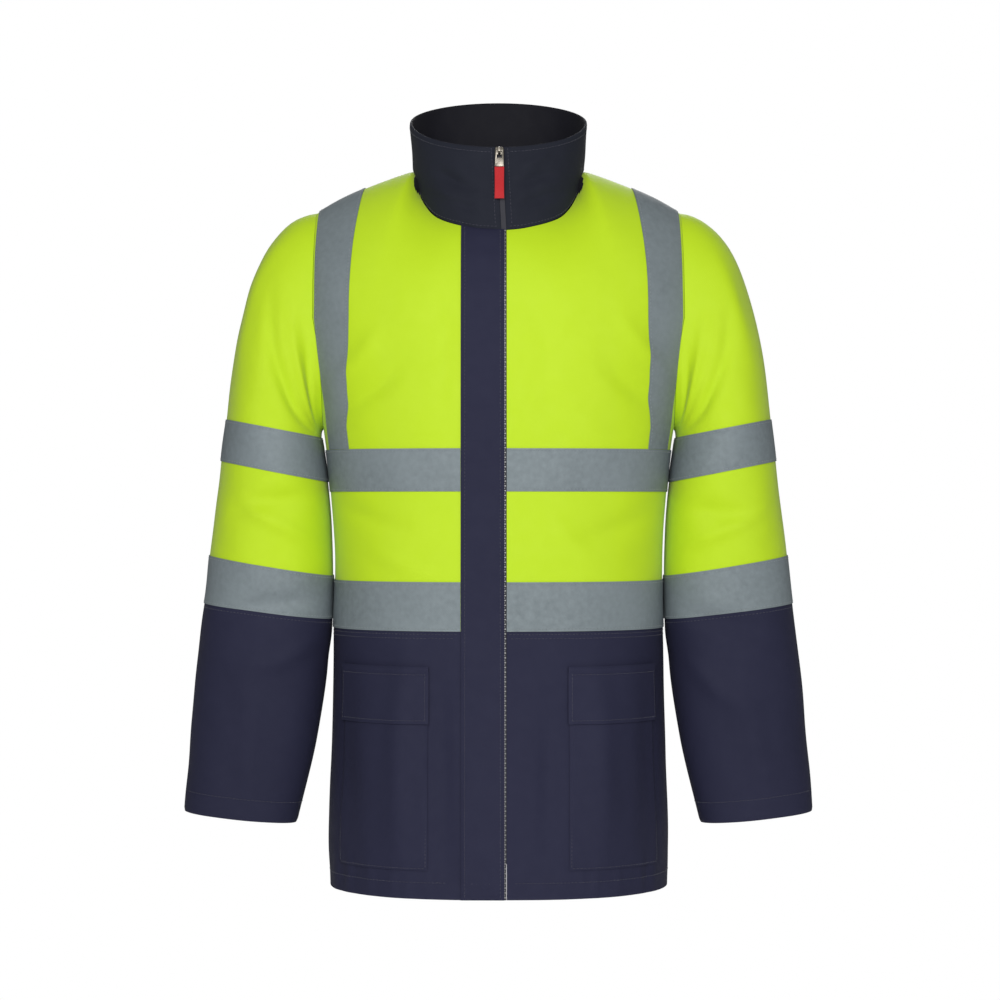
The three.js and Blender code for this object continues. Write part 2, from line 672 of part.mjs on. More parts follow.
// The tab's top bar turns inside the bail, so the axis stays its half-diagonal and a gap from the wire.
const barSwing = Math.hypot(LINK.bar, LINK.thickness) / 2 + GAP;
const pivotY = -(2 * GAP + SLIDER.depth + SLIDER.bailReach - SLIDER.bailWire - barSwing);
const linkShape = rectangle(LINK.width, LINK.bar / 2, LINK.bar / 2 - LINK.length);
linkShape.holes.push(rectangle(LINK.slotWidth, -LINK.bar / 2, -LINK.bar / 2 - LINK.slotLength));
const link = new THREE.Mesh(plate(linkShape, LINK.thickness), finish.zip);
link.name = 'pull_link';
link.position.set(0, pivotY, 0);
assembly.add(link);

const ribbonTop = LINK.bar / 2 - LINK.length - GAP;
const ribbon = new THREE.Mesh(
  plate(rectangle(RIBBON.width, ribbonTop, ribbonTop - RIBBON.length), RIBBON.thickness), finish.ribbon);
ribbon.name = 'pull_ribbon';
ribbon.position.set(0, pivotY, 0);
assembly.add(ribbon);

export default jacket;
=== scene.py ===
"""High-visibility work jacket in its worn shape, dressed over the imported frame.

Sizes are in metres. +Z is up and the front of the jacket faces -Y.
"""
import sys
import logging
import math
from dataclasses import dataclass, field
from enum import Enum

import bpy
import numpy as np
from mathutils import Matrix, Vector


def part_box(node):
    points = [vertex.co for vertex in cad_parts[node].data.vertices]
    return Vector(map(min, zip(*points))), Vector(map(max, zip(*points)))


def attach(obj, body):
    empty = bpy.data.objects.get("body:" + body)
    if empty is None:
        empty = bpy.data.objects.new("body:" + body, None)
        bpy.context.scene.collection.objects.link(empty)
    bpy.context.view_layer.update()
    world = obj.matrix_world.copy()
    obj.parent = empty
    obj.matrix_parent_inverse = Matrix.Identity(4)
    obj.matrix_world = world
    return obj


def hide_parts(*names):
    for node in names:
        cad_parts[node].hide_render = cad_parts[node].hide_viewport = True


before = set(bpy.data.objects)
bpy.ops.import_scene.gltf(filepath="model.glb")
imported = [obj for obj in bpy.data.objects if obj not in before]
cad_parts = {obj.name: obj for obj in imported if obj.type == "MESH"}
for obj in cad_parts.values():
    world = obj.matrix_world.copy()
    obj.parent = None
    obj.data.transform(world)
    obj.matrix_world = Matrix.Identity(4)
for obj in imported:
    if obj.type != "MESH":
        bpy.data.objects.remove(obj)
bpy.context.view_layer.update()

LOG = logging.getLogger("jacket")
Array = np.ndarray
MM = 0.001
GAP = 0.3 * MM
BODY = "jacket"
PULL_BODY = "zip_pull"


class Face(Enum):
    """Half of the body that a panel covers."""

    FRONT = "front"
    BACK = "back"


class Side(Enum):
    """Side of the wearer, with the sign of its X."""

    RIGHT = -1
    LEFT = 1

    @property
    def label(self) -> str:
        """Lower-case name used in node names."""
        return self.name.lower()


# ------------------------------------------------------------------ curves and creases
def smooth_table(knots: Array, values: Array, query: Array) -> Array:
    """Interpolate a table without overshoot, with a continuous slope.

    Args:
        knots: Rising positions of the table's rows.
        values: One value for each row.
        query: Positions to read.

    Returns:
        The interpolated values, held constant outside the table.
    """
    query = np.clip(query, knots[0], knots[-1])
    step = np.diff(knots)
    slope = np.diff(values) / step
    tangent = np.zeros(len(knots))
    before, after = slope[:-1], slope[1:]
    same = before * after > 0
    weight_a, weight_b = 2 * step[1:] + step[:-1], step[1:] + 2 * step[:-1]
    with np.errstate(divide="ignore", invalid="ignore"):
        mean = (weight_a + weight_b) / (weight_a / before + weight_b / after)
    tangent[1:-1] = np.where(same, mean, 0)
    tangent[0], tangent[-1] = slope[0], slope[-1]
    cell = np.clip(np.searchsorted(knots, query, side="right") - 1, 0, len(step) - 1)
    t = (query - knots[cell]) / step[cell]
    width = step[cell]
    return ((1 + 2 * t) * (1 - t) ** 2 * values[cell] + t * (1 - t) ** 2 * width * tangent[cell]
            + t * t * (3 - 2 * t) * values[cell + 1] + t * t * (t - 1) * width * tangent[cell + 1])


@dataclass(frozen=True)
class Crease:
    """Soft ridge (positive height) or trough (negative height) drawn on a flat map of the cloth."""

    start: tuple[float, float]
    end: tuple[float, float]
    width: float
    height: float
    bow: float = 0.0

    def height_at(self, u: Array, v: Array) -> Array:
        """Height that the crease adds.

        Args:
            u: First map coordinate of each point.
            v: Second map coordinate of each point.

        Returns:
            Height along the surface normal.
        """
        du, dv = self.end[0] - self.start[0], self.end[1] - self.start[1]
        length = math.hypot(du, dv)
        along = ((u - self.start[0]) * du + (v - self.start[1]) * dv) / length**2
        side = ((u - self.start[0]) * dv - (v - self.start[1]) * du) / length
        inside = np.clip(along, 0, 1)
        side = side - self.bow * 4 * inside * (1 - inside)
        taper = np.sin(np.pi * inside) ** 1.3 * (along > 0) * (along < 1)
        return self.height * taper * np.exp(-((side / self.width) ** 2))


def relief(creases: tuple[Crease, ...], u: Array, v: Array) -> Array:
    """Sum of several creases."""
    total = np.zeros_like(u)
    for crease in creases:
        total = total + crease.height_at(u, v)
    return total


def ripple(points: Array, scale: float, height: float) -> Array:
    """Gentle unevenness of hanging cloth.

    Args:
        points: Places on the surface.
        scale: Length of the longest wave.
        height: Largest height.

    Returns:
        Height along the surface normal.
    """
    x, y, z = (points[..., i] * 2 * math.pi / scale for i in range(3))
    waves = (np.sin(x * 0.9 + 0.7 * z + 1.3) * np.cos(0.6 * y + 0.5 * z)
             + 0.6 * np.sin(1.9 * x - 0.8 * z + 0.4 * y) + 0.4 * np.cos(2.7 * x + 1.7 * z + 2.1))
    return height * 0.5 * waves


def pucker(x: Array, z: Array) -> Array:
    """Small gathers that the hem stitching pulls into the cloth."""
    beat = 2 * math.pi * x
    gathers = np.sin(beat / 0.021 + 1.2 * np.sin(beat / 0.09)) + 0.6 * np.sin(beat / 0.013 + 0.8)
    strength = 0.35 + 0.65 * np.clip(np.abs(x) / 0.17, 0, 1) ** 2
    return 0.75 * MM * gathers * strength * np.exp(-(((z + 0.768) / 0.017) ** 2))


def steady(value: Array, low: float, high: float) -> Array:
    """Ease from 0 at low to 1 at high."""
    t = np.clip((value - low) / (high - low), 0, 1)
    return t * t * (3 - 2 * t)


# ------------------------------------------------------------------ forms
@dataclass(frozen=True)
class Column:
    """Vertical line of the cutting layout on half a body panel, in millimetres and degrees."""

    top_x: float
    front_y: float
    front_z: float
    back_y: float
    back_z: float
    start: float
    chest_x: float


@dataclass(frozen=True)
class TorsoForm:
    """Smooth surface of the body of the jacket.

    A place is a column (0 at the centre, 10 at the armhole or side seam) and a level: 0 at the neckline
    or shoulder seam, 1 at the middle of the armhole, 2 at the armpit, then 2 plus metres below it.
    """

    roundness: float = 2.4
    mid_z: float = -150 * MM
    armpit_z: float = -273 * MM
    armhole_half_depth: float = 64 * MM
    inner_tape_x: float = 165 * MM
    outer_tape_x: float = 204.5 * MM
    inner_share: float = 0.845
    outer_share: float = 0.965
    # z, half-width, front depth, back depth
    sections: tuple[tuple[float, float, float, float], ...] = (
        (-788, 191, 135, 132), (-730, 193, 133, 131), (-640, 190, 131, 130), (-497, 187, 127, 128),
        (-422, 186, 126, 127), (-344, 191, 125, 127), (-273, 199, 125, 126), (-150, 229, 122, 122),
    )
    columns: tuple[Column, ...] = (
        Column(0, -97, -56, 75, 30, 35, 0),
        Column(19, -95.5, -55, 74, 30.2, 34, 19),
        Column(41, -89.5, -50.5, 70, 30.5, 32, 41),
        Column(69, -70, -39, 58, 30, 26, 77),
        Column(87, -40, -14, 35, 27, 14, 105),
        Column(97, 0, 20, 0, 20, 0, 135),
        Column(151, 0, 1, 0, 1, 0, 165),
        Column(177, 0, -10.5, 0, -10.5, 0, 186.5),
        Column(203, 0, -25, 0, -25, 0, 204.5),
        Column(204.5, 0, -26, 0, -26, 0, 206),
        Column(206, 0, -27, 0, -27, 0, 207.2),
    )

    def section(self, z: Array) -> tuple[Array, Array, Array]:
        """Half-width, front depth and back depth at a height."""
        table = np.array(self.sections) * MM
        return tuple(smooth_table(table[:, 0], table[:, i], z) for i in (1, 2, 3))

    def angle_of(self, x: Array, width: Array) -> Array:
        """Angle on a section, 0 at the centre and a quarter turn at the side, for a given x."""
        return np.arcsin(np.clip(x / width, 0, 1) ** (self.roundness / 2))

    def on_section(self, face: Face, angle: Array, z: Array) -> Array:
        """Point of a section at an angle and a height."""
        width, front, back = self.section(z)
        depth = -front if face is Face.FRONT else back
        power = 2 / self.roundness
        x = width * np.clip(np.sin(angle), 0, 1) ** power
        y = depth * np.clip(np.cos(angle), 0, 1) ** power
        return np.stack([x, y, z], axis=-1)

    def edge_angle(self, face: Face, z: Array) -> Array:
        """Angle of the armhole's edge, or of the side seam below it."""
        _, front, back = self.section(z)
        depth = front if face is Face.FRONT else back
        sine = np.clip((self.mid_z - z) / (self.mid_z - self.armpit_z), 0, 1)
        y = self.armhole_half_depth * np.sqrt(1 - sine**2)
        return np.where(z > self.armpit_z, np.arccos(np.clip(y / depth, 0, 1) ** (self.roundness / 2)),
                        math.pi / 2)

    def column_angle(self, face: Face, column: Array, z: Array) -> Array:
        """Angle of a column on a section at or below the middle of the armhole."""
        width = self.section(z)[0]
        side_width = self.section(np.minimum(z, self.armpit_z))[0]
        drop = np.clip((self.mid_z - z) / (self.mid_z - self.armpit_z), 0, 1)
        inner = self.inner_tape_x * (1 - drop) + self.inner_share * side_width * drop
        outer = self.outer_tape_x * (1 - drop) + self.outer_share * side_width * drop
        knots = np.arange(6.0)
        chest = np.array([item.chest_x for item in self.columns[:6]]) * MM
        x = smooth_table(knots, chest, np.minimum(column, 5))
        x = np.where(column > 5, chest[5] + (inner - chest[5]) * (column - 5), x)
        centre = self.angle_of(x, width)
        inner_angle, outer_angle = self.angle_of(inner, width), self.angle_of(outer, width)
        tape = inner_angle + (outer_angle - inner_angle) * (column - 6) / 2
        edge = outer_angle + (self.edge_angle(face, z) - outer_angle) * (column - 8) / 2
        return np.where(column <= 6, centre, np.where(column <= 8, tape, edge))

    def point(self, face: Face, column: Array, level: Array) -> Array:
        """Point on the +X half of the body.

        Args:
            face: Front or back half.
            column: Column of the layout, 0 to 10.
            level: Level of the layout.

        Returns:
            Points, with the last axis X, Y, Z.
        """
        column, level = np.broadcast_arrays(np.asarray(column, float), np.asarray(level, float))
        low_z = np.where(
            level <= 2,
            self.mid_z + (self.armpit_z - self.mid_z) * np.sin(np.clip(level - 1, 0, 1) * math.pi / 2),
            self.armpit_z - (level - 2))
        low = self.on_section(face, self.column_angle(face, column, low_z), low_z)
        knots = np.arange(11.0)
        side = face.value

        def top(name: str, scale: float = MM) -> Array:
            values = np.array([getattr(item, name) for item in self.columns]) * scale
            return smooth_table(knots, values, column)

        top_x, top_y, top_z = top("top_x"), top(f"{side}_y"), top(f"{side}_z")
        start = top("start", math.pi / 180)
        t = np.clip(level, 0, 1)
        angle = start + (math.pi / 2 - start) * t
        along = (1 - np.sin(angle)) / (1 - np.sin(start))
        height = np.cos(angle) / np.cos(start)
        high = np.stack([
            low[..., 0] + (top_x - low[..., 0]) * height**2,
            low[..., 1] + (top_y - low[..., 1]) * along,
            self.mid_z + (top_z - self.mid_z) * height,
        ], axis=-1)
        return np.where((level < 1)[..., None], high, low)

    def level_of(self, z: float) -> float:
        """Level of a height at or below the armpit."""
        return 2 + self.armpit_z - z


TORSO = TorsoForm()

FRONT_CREASES = (
    # soft pulls that run from the armpits over the chest
    Crease((-0.196, -0.262), (-0.096, -0.196), 0.011, -0.0028, 0.008),
    Crease((-0.200, -0.238), (-0.118, -0.150), 0.010, 0.0022, 0.006),
    Crease((0.198, -0.258), (0.104, -0.184), 0.012, -0.0030, -0.009),
    Crease((0.201, -0.226), (0.126, -0.140), 0.009, 0.0020, -0.005),
    # drag lines between the bands
    Crease((-0.186, -0.352), (-0.092, -0.386), 0.010, -0.0022, 0.006),
    Crease((0.184, -0.358), (0.076, -0.398), 0.012, -0.0024, -0.007),
    Crease((-0.150, -0.404), (-0.060, -0.438), 0.009, 0.0014, 0.004),
    Crease((0.048, -0.352), (0.122, -0.436), 0.012, 0.0014, 0.006),
    # folds beside the storm flap
    Crease((-0.052, -0.090), (-0.058, -0.288), 0.010, -0.0012, 0.003),
    Crease((0.040, -0.110), (0.054, -0.280), 0.012, -0.0012, -0.004),
    # hanging folds of the skirt
    Crease((-0.098, -0.486), (-0.108, -0.796), 0.014, 0.0038, 0.004),
    Crease((-0.064, -0.520), (-0.062, -0.800), 0.010, -0.0026, -0.003),
    Crease((-0.164, -0.500), (-0.160, -0.802), 0.014, -0.0030, 0.004),
    Crease((0.102, -0.492), (0.112, -0.800), 0.015, 0.0036, -0.005),
    Crease((0.058, -0.530), (0.056, -0.802), 0.011, -0.0024, 0.003),
    Crease((0.160, -0.500), (0.164, -0.800), 0.013, -0.0030, -0.003),
    Crease((-0.030, -0.630), (-0.036, -0.800), 0.008, 0.0012, 0.002),
)
BACK_CREASES = (
    Crease((-0.190, -0.250), (-0.070, -0.160), 0.013, -0.0030, 0.010),
    Crease((0.192, -0.244), (0.080, -0.170), 0.012, -0.0028, -0.008),
    Crease((-0.060, -0.120), (0.072, -0.138), 0.016, -0.0018, 0.008),
    Crease((-0.180, -0.360), (-0.050, -0.410), 0.012, -0.0026, 0.006),
    Crease((0.176, -0.352), (0.060, -0.420), 0.013, -0.0024, -0.008),
    Crease((-0.110, -0.490), (-0.118, -0.800), 0.016, 0.0040, 0.005),
    Crease((-0.030, -0.500), (-0.040, -0.800), 0.014, -0.0030, -0.004),
    Crease((0.050, -0.510), (0.058, -0.800), 0.015, 0.0034, 0.004),
    Crease((0.140, -0.500), (0.146, -0.800), 0.013, -0.0032, -0.005),
)


def grid_normals(points: Array, outward: Array) -> Array:
    """Unit normals of a grid of points.

    Args:
        points: Grid of points.
        outward: Rough outward direction at each point.

    Returns:
        Normals that agree with the outward direction.
    """
    across, along = np.gradient(points, axis=0), np.gradient(points, axis=1)
    normal = np.cross(across, along)
    length = np.linalg.norm(normal, axis=-1, keepdims=True)
    normal = normal / np.maximum(length, 1e-12)
    sign = np.sign(np.sum(normal * outward, axis=-1, keepdims=True))
    return normal * np.where(sign == 0, 1, sign)


def even_steps(curve: Array, params: Array, spacing: float) -> Array:
    """Parameters that divide a sampled curve into nearly equal steps.

    Args:
        curve: Points sampled along the curve.
        params: Parameter of each sample.
        spacing: Wanted step.

    Returns:
        Parameters from the first to the last sample.
    """
    run = np.concatenate([[0], np.cumsum(np.linalg.norm(np.diff(curve, axis=0), axis=1))])
    count = max(2, int(round(run[-1] / spacing)) + 1)
    return np.interp(np.linspace(0, run[-1], count), run, params)


@dataclass(frozen=True)
class Patch:
    """Piece of cloth as a grid of surface points, normals and flat coordinates."""

    points: Array
    normals: Array
    flat: Array

    def lifted(self, height: Array | float) -> Array:
        """Points moved out along the normals."""
        return self.points + self.normals * np.asarray(height)[..., None]

    def size(self) -> tuple[float, float, float]:
        """Largest width, largest length and area of the cut."""
        across = np.linalg.norm(np.diff(self.points, axis=0), axis=-1)
        along = np.linalg.norm(np.diff(self.points, axis=1), axis=-1)
        widths, lengths = across.sum(axis=0), along.sum(axis=1)
        cell = 0.25 * (across[:, 1:] + across[:, :-1]) * (along[1:] + along[:-1])
        return float(widths.max()), float(lengths.max()), float(cell.sum())

    def joined(self, other: "Patch") -> "Patch":
        """This patch with another one after its last column."""
        return Patch(*(np.concatenate(pair, axis=0) for pair in (
            (self.points, other.points), (self.normals, other.normals), (self.flat, other.flat))))


def flat_map(points: Array, wrap: bool = False) -> Array:
    """Flat coordinates in metres that follow the arc lengths of a grid."""
    across = np.linalg.norm(np.diff(points, axis=0), axis=-1)
    along = np.linalg.norm(np.diff(points, axis=1), axis=-1)
    if wrap:
        across = np.repeat(across.mean(axis=1, keepdims=True), points.shape[1], axis=1)
    u = np.concatenate([np.zeros((1, points.shape[1])), np.cumsum(across, axis=0)])
    v = np.concatenate([np.zeros((points.shape[0], 1)), np.cumsum(along, axis=1)], axis=1)
    return np.stack([u, v], axis=-1)


def sewn(edge: Array, here: Array, facing: Array, reach: float = 3 * MM) -> Array:
    """Edge of a panel, brought just past the seam line wherever the facing panel is near."""
    gap = np.linalg.norm(here - facing, axis=-1, keepdims=True)
    past = 0.5 + 0.06 * MM / np.maximum(gap, 0.1 * MM)
    return np.where(gap < reach, here + (facing - here) * past, edge)


def torso_patch(face: Face, side: Side, columns: tuple[float, float], levels: tuple[float, float],
                spacing: float = 4 * MM, start_x: float | None = None) -> Patch:
    """Cut a patch from half of the body, with its creases.

    Args:
        face: Front or back.
        side: Wearer's side.
        columns: First and last column.
        levels: First and last level.
        spacing: Distance between grid lines.
        start_x: X of the first column on the +X half, where it isn't on the layout's own line.

    Returns:
        The patch, its first index across and its second downwards.
    """
    fine_c = np.linspace(columns[0], columns[1], 300)
    guide = max(levels[1], 2.1)
    row = TORSO.point(face, fine_c, np.full_like(fine_c, guide))
    cs = even_steps(row, fine_c, spacing)
    fine_l = np.linspace(levels[0], levels[1], 400)
    line = TORSO.point(face, np.full_like(fine_l, min(columns[1], 5.0)), fine_l)
    ls = even_steps(line, fine_l, spacing)
    c, level = np.meshgrid(cs, ls, indexing="ij")
    points = TORSO.point(face, c, level)
    if start_x is not None:
        span = 1.0
        share = np.clip(1 - (c - columns[0]) / span, 0, 1)
        first = points[0, :, 0].copy()
        points[..., 0] += share * (start_x - first[None, :])
    other = Face.BACK if face is Face.FRONT else Face.FRONT
    if columns[1] > 9.9:
        last = np.full_like(ls, 10.0)
        points[-1] = sewn(points[-1], TORSO.point(face, last, ls), TORSO.point(other, last, ls))
    if levels[0] < 0.01:
        first = np.zeros_like(cs)
        points[:, 0] = sewn(points[:, 0], TORSO.point(face, cs, first), TORSO.point(other, cs, first))
    outward = points * np.array([1, 1, 0]) + np.array([0, 0, 1]) * np.maximum(points[..., 2:] + 0.15, 0)
    normals = grid_normals(points, outward)
    flat = flat_map(points)
    flip = np.array([side.value, 1, 1])
    points, normals = points * flip, normals * flip
    creases = FRONT_CREASES if face is Face.FRONT else BACK_CREASES
    x, z = points[..., 0], points[..., 2]
    height = 1.4 * relief(creases, x, z) + ripple(points, 0.16, 0.8 * MM) + pucker(x, z)
    seam = np.minimum(1, (10 - c) / 0.6) * np.minimum(1, level / 0.25)
    height = height * np.clip(seam, 0, 1)
    return Patch(points + normals * height[..., None], normals, flat)


# ------------------------------------------------------------------ meshes
def new_object(name: str, vertices: Array, faces: list, materials: list, indices: list | None = None,
               uvs: Array | None = None) -> bpy.types.Object:
    """Make an object at the origin from vertices and faces.

    Args:
        name: Object name.
        vertices: Vertex places.
        faces: Vertex numbers of each face.
        materials: Material slots.
        indices: Material slot of each face.
        uvs: Flat coordinates of each vertex.

    Returns:
        The new object.
    """
    mesh = bpy.data.meshes.new(name)
    mesh.from_pydata(np.asarray(vertices).tolist(), [], faces)
    for material in materials:
        mesh.materials.append(material)
    if indices is not None:
        mesh.polygons.foreach_set("material_index", indices)
    if uvs is not None:
        layer = mesh.uv_layers.new(name="cloth")
        loops = np.empty(len(mesh.loops), dtype=np.int32)
        mesh.loops.foreach_get("vertex_index", loops)
        layer.data.foreach_set("uv", np.asarray(uvs)[loops].astype(np.float32).ravel())
    mesh.polygons.foreach_set("use_smooth", [True] * len(mesh.polygons))
    mesh.update()
    obj = bpy.data.objects.new(name, mesh)
    bpy.context.scene.collection.objects.link(obj)
    return obj


def grid_faces(count_u: int, count_v: int, loop: bool, base: int, turned: bool) -> list:
    """Quads of one layer of a grid."""
    u = np.arange(count_u if loop else count_u - 1)
    v = np.arange(count_v - 1)
    uu, vv = (item.ravel() for item in np.meshgrid(u, v, indexing="ij"))
    nxt = (uu + 1) % count_u
    quad = np.stack([uu * count_v + vv, nxt * count_v + vv, nxt * count_v + vv + 1, uu * count_v + vv + 1], 1)
    return ((quad[:, ::-1] if turned else quad) + base).tolist()


def cloth_shell(name: str, patch: Patch, low: Array | float, high: Array | float, materials: list,
                loop: bool = False) -> bpy.types.Object:
    """Closed cloth wall between two heights above a patch, with a rolled edge.

    Args:
        name: Object name.
        patch: Surface that the cloth follows.
        low: Height of the inner face.
        high: Height of the outer face.
        materials: Outer finish, then the finish of the inner face.
        loop: Whether the first index closes on itself.

    Returns:
        The cloth object.
    """
    outer, inner = patch.lifted(high), patch.lifted(low)
    count_u, count_v = outer.shape[:2]
    size = count_u * count_v
    vertices = np.concatenate([outer.reshape(-1, 3), inner.reshape(-1, 3)])
    centre_u, centre_v = count_u // 2, count_v // 2
    here = outer[centre_u, centre_v]
    across = outer[(centre_u + 1) % count_u, centre_v] - here
    along = outer[centre_u, centre_v + 1] - here
    turned = float(np.dot(np.cross(across, along), patch.normals[centre_u, centre_v])) < 0
    faces = grid_faces(count_u, count_v, loop, 0, turned)
    indices = [0] * len(faces)
    back = grid_faces(count_u, count_v, loop, size, not turned)
    faces += back
    indices += [min(1, len(materials) - 1)] * len(back)
    rims = []
    number = np.arange(size).reshape(count_u, count_v)
    ring = number if not loop else np.concatenate([number, number[:1]])
    for line, flip in ((ring[:, 0], True), (ring[:, -1], False)):
        rims += rim_faces(line, size, flip != turned)
    if not loop:
        for line, flip in ((number[0], False), (number[-1], True)):
            rims += rim_faces(line, size, flip != turned)
    faces += rims
    indices += [0] * len(rims)
    uvs = np.concatenate([patch.flat.reshape(-1, 2)] * 2)
    obj = new_object(name, vertices, faces, materials, indices, uvs)
    shade_by_angle(obj, 55)
    return obj


def rim_faces(line: Array, size: int, turned: bool) -> list:
    """Quads that close the edge between the two layers along a line of vertices."""
    quads = np.stack([line[:-1], line[:-1] + size, line[1:] + size, line[1:]], 1)
    return (quads[:, ::-1] if turned else quads).tolist()


def select_only(obj: bpy.types.Object) -> None:
    """Make one object the only selected and active one."""
    bpy.ops.object.select_all(action="DESELECT")
    obj.select_set(True)
    bpy.context.view_layer.objects.active = obj


def shade_by_angle(obj: bpy.types.Object, degrees: float) -> None:
    """Smooth shading with sharp edges above an angle."""
    select_only(obj)
    bpy.ops.object.shade_smooth_by_angle(angle=math.radians(degrees))


def place(obj: bpy.types.Object, nodes: tuple[str, ...] = (), body: str = BODY) -> None:
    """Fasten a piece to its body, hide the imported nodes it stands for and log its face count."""
    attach(obj, body)
    if nodes:
        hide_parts(*nodes)
    LOG.info("%s: %d faces", obj.name, len(obj.data.polygons))


def declare(patch: Patch) -> None:
    """Work out the width, length and area of a cloth piece's flat cut; the result is not kept."""
    width, length, area = patch.size()


# ------------------------------------------------------------------ finishes
def linear(rgb: tuple[float, float, float]) -> tuple[float, float, float, float]:
    """Linear colour of a display colour given in 0 to 255."""
    parts = [value / 255 for value in rgb]
    parts = [p / 12.92 if p <= 0.04045 else ((p + 0.055) / 1.055) ** 2.4 for p in parts]
    return (*parts, 1.0)


class Nodes:
    """Short way to build a material's node tree."""

    def __init__(self, name: str) -> None:
        """Start a material with only an output and a principled shader."""
        self.material = bpy.data.materials.new(name)
        self.material.use_nodes = True
        self.tree = self.material.node_tree
        self.tree.nodes.clear()
        self.shader = self.add("ShaderNodeBsdfPrincipled")
        output = self.add("ShaderNodeOutputMaterial")
        self.link(self.shader, "BSDF", output, "Surface")

    def add(self, kind: str, **settings: object) -> bpy.types.Node:
        """Add a node; settings with the names of inputs fill them, others are properties."""
        node = self.tree.nodes.new(kind)
        for key, value in settings.items():
            label = key.replace("_", " ").title()
            if label in node.inputs:
                node.inputs[label].default_value = value
            else:
                setattr(node, key, value)
        return node

    def link(self, source: bpy.types.Node, output: str | int, target: bpy.types.Node,
             socket: str | int) -> None:
        """Join two sockets."""
        self.tree.links.new(source.outputs[output], target.inputs[socket])

    def maths(self, operation: str, a: tuple | float, b: tuple | float) -> bpy.types.Node:
        """Arithmetic on two values, each a number or a (node, output) pair."""
        node = self.add("ShaderNodeMath", operation=operation)
        for index, value in enumerate((a, b)):
            if isinstance(value, tuple):
                self.link(value[0], value[1], node, index)
            else:
                node.inputs[index].default_value = value
        return node

    def noise(self, scale: float, detail: float, coordinate: str = "Object") -> bpy.types.Node:
        """Noise on Object coordinates or on the flat map."""
        source = self.add("ShaderNodeTexCoord")
        node = self.add("ShaderNodeTexNoise", scale=scale, detail=detail)
        self.link(source, coordinate, node, "Vector")
        return node

    def blend(self, factor: tuple, a: tuple, b: tuple) -> bpy.types.Node:
        """Mix two colours, each a colour or a (node, output) pair."""
        node = self.add("ShaderNodeMix", data_type="RGBA")
        self.link(factor[0], factor[1], node, 0)
        for socket, value in ((6, a), (7, b)):
            if isinstance(value[0], bpy.types.Node):
                self.link(value[0], value[1], node, socket)
            else:
                node.inputs[socket].default_value = value
        return node


@dataclass(frozen=True)
class WovenFinish:
    """Coated woven cloth: crossed yarns with painted shade in the gaps between them, uneven colour, light wear
    and sheen.
    """

    name: str
    colour: tuple[float, float, float]
    shade: tuple[float, float, float]
    yarn: float = 0.9 * MM
    relief: float = 0.35
    roughness: float = 0.62
    sheen: float = 0.12
    specular: float = 0.3
    patchiness: float = 0.5

    def material(self) -> bpy.types.Material:
        """Build the material."""
        nodes = Nodes(self.name)
        shader = nodes.shader
        shader.inputs["Sheen Weight"].default_value = self.sheen
        shader.inputs["Sheen Roughness"].default_value = 0.45
        shader.inputs["Specular IOR Level"].default_value = self.specular
        uv = nodes.add("ShaderNodeUVMap", uv_map="cloth")
        wave_scale = math.pi / 10 / self.yarn
        warp = nodes.add("ShaderNodeTexWave", bands_direction="X", scale=wave_scale, distortion=0.6,
                         detail=1.0, detail_scale=2.0)
        weft = nodes.add("ShaderNodeTexWave", bands_direction="Y", scale=wave_scale, distortion=0.6,
                         detail=1.0, detail_scale=2.0)
        over = nodes.add("ShaderNodeTexChecker", scale=1 / self.yarn)
        for texture in (warp, weft, over):
            nodes.link(uv, "UV", texture, "Vector")
        weave = nodes.blend((over, "Fac"), (warp, "Color"), (weft, "Color"))
        broad = nodes.noise(5.0, 3.0)
        fine = nodes.noise(70.0, 4.0)
        slub = nodes.noise(420.0, 2.0)
        patch = nodes.maths("MULTIPLY", (broad, "Fac"), self.patchiness)
        grime = nodes.maths("MULTIPLY", (fine, "Fac"), 0.35 * self.patchiness)
        amount = nodes.maths("ADD", (patch, 0), (grime, 0))
        base = nodes.blend((amount, 0), linear(self.colour), linear(self.shade))
        # Painted shade: the colour is darkened in the low gaps between the yarns of the weave.
        dark = tuple(c * 0.82 for c in linear(self.shade)[:3]) + (1.0,)
        gap = nodes.maths("SUBTRACT", 1.0, (weave, 2))
        depth = nodes.maths("MULTIPLY", (gap, 0), 0.35)
        colour = nodes.blend((depth, 0), (base, 2), dark)
        nodes.link(colour, 2, shader, "Base Color")
        rough = nodes.maths("MULTIPLY_ADD", (fine, "Fac"), 0.18)
        rough.inputs[2].default_value = self.roughness - 0.09
        nodes.link(rough, 0, shader, "Roughness")
        height = nodes.maths("MULTIPLY_ADD", (slub, "Fac"), 0.6)
        nodes.link(weave, 2, height, 2)
        bump = nodes.add("ShaderNodeBump", strength=self.relief, distance=0.25 * MM)
        nodes.link(height, 0, bump, "Height")
        soft = nodes.noise(38.0, 3.0)
        dent = nodes.add("ShaderNodeBump", strength=0.35, distance=1.2 * MM)
        nodes.link(soft, "Fac", dent, "Height")
        nodes.link(dent, "Normal", bump, "Normal")
        nodes.link(bump, "Normal", shader, "Normal")
        return nodes.material


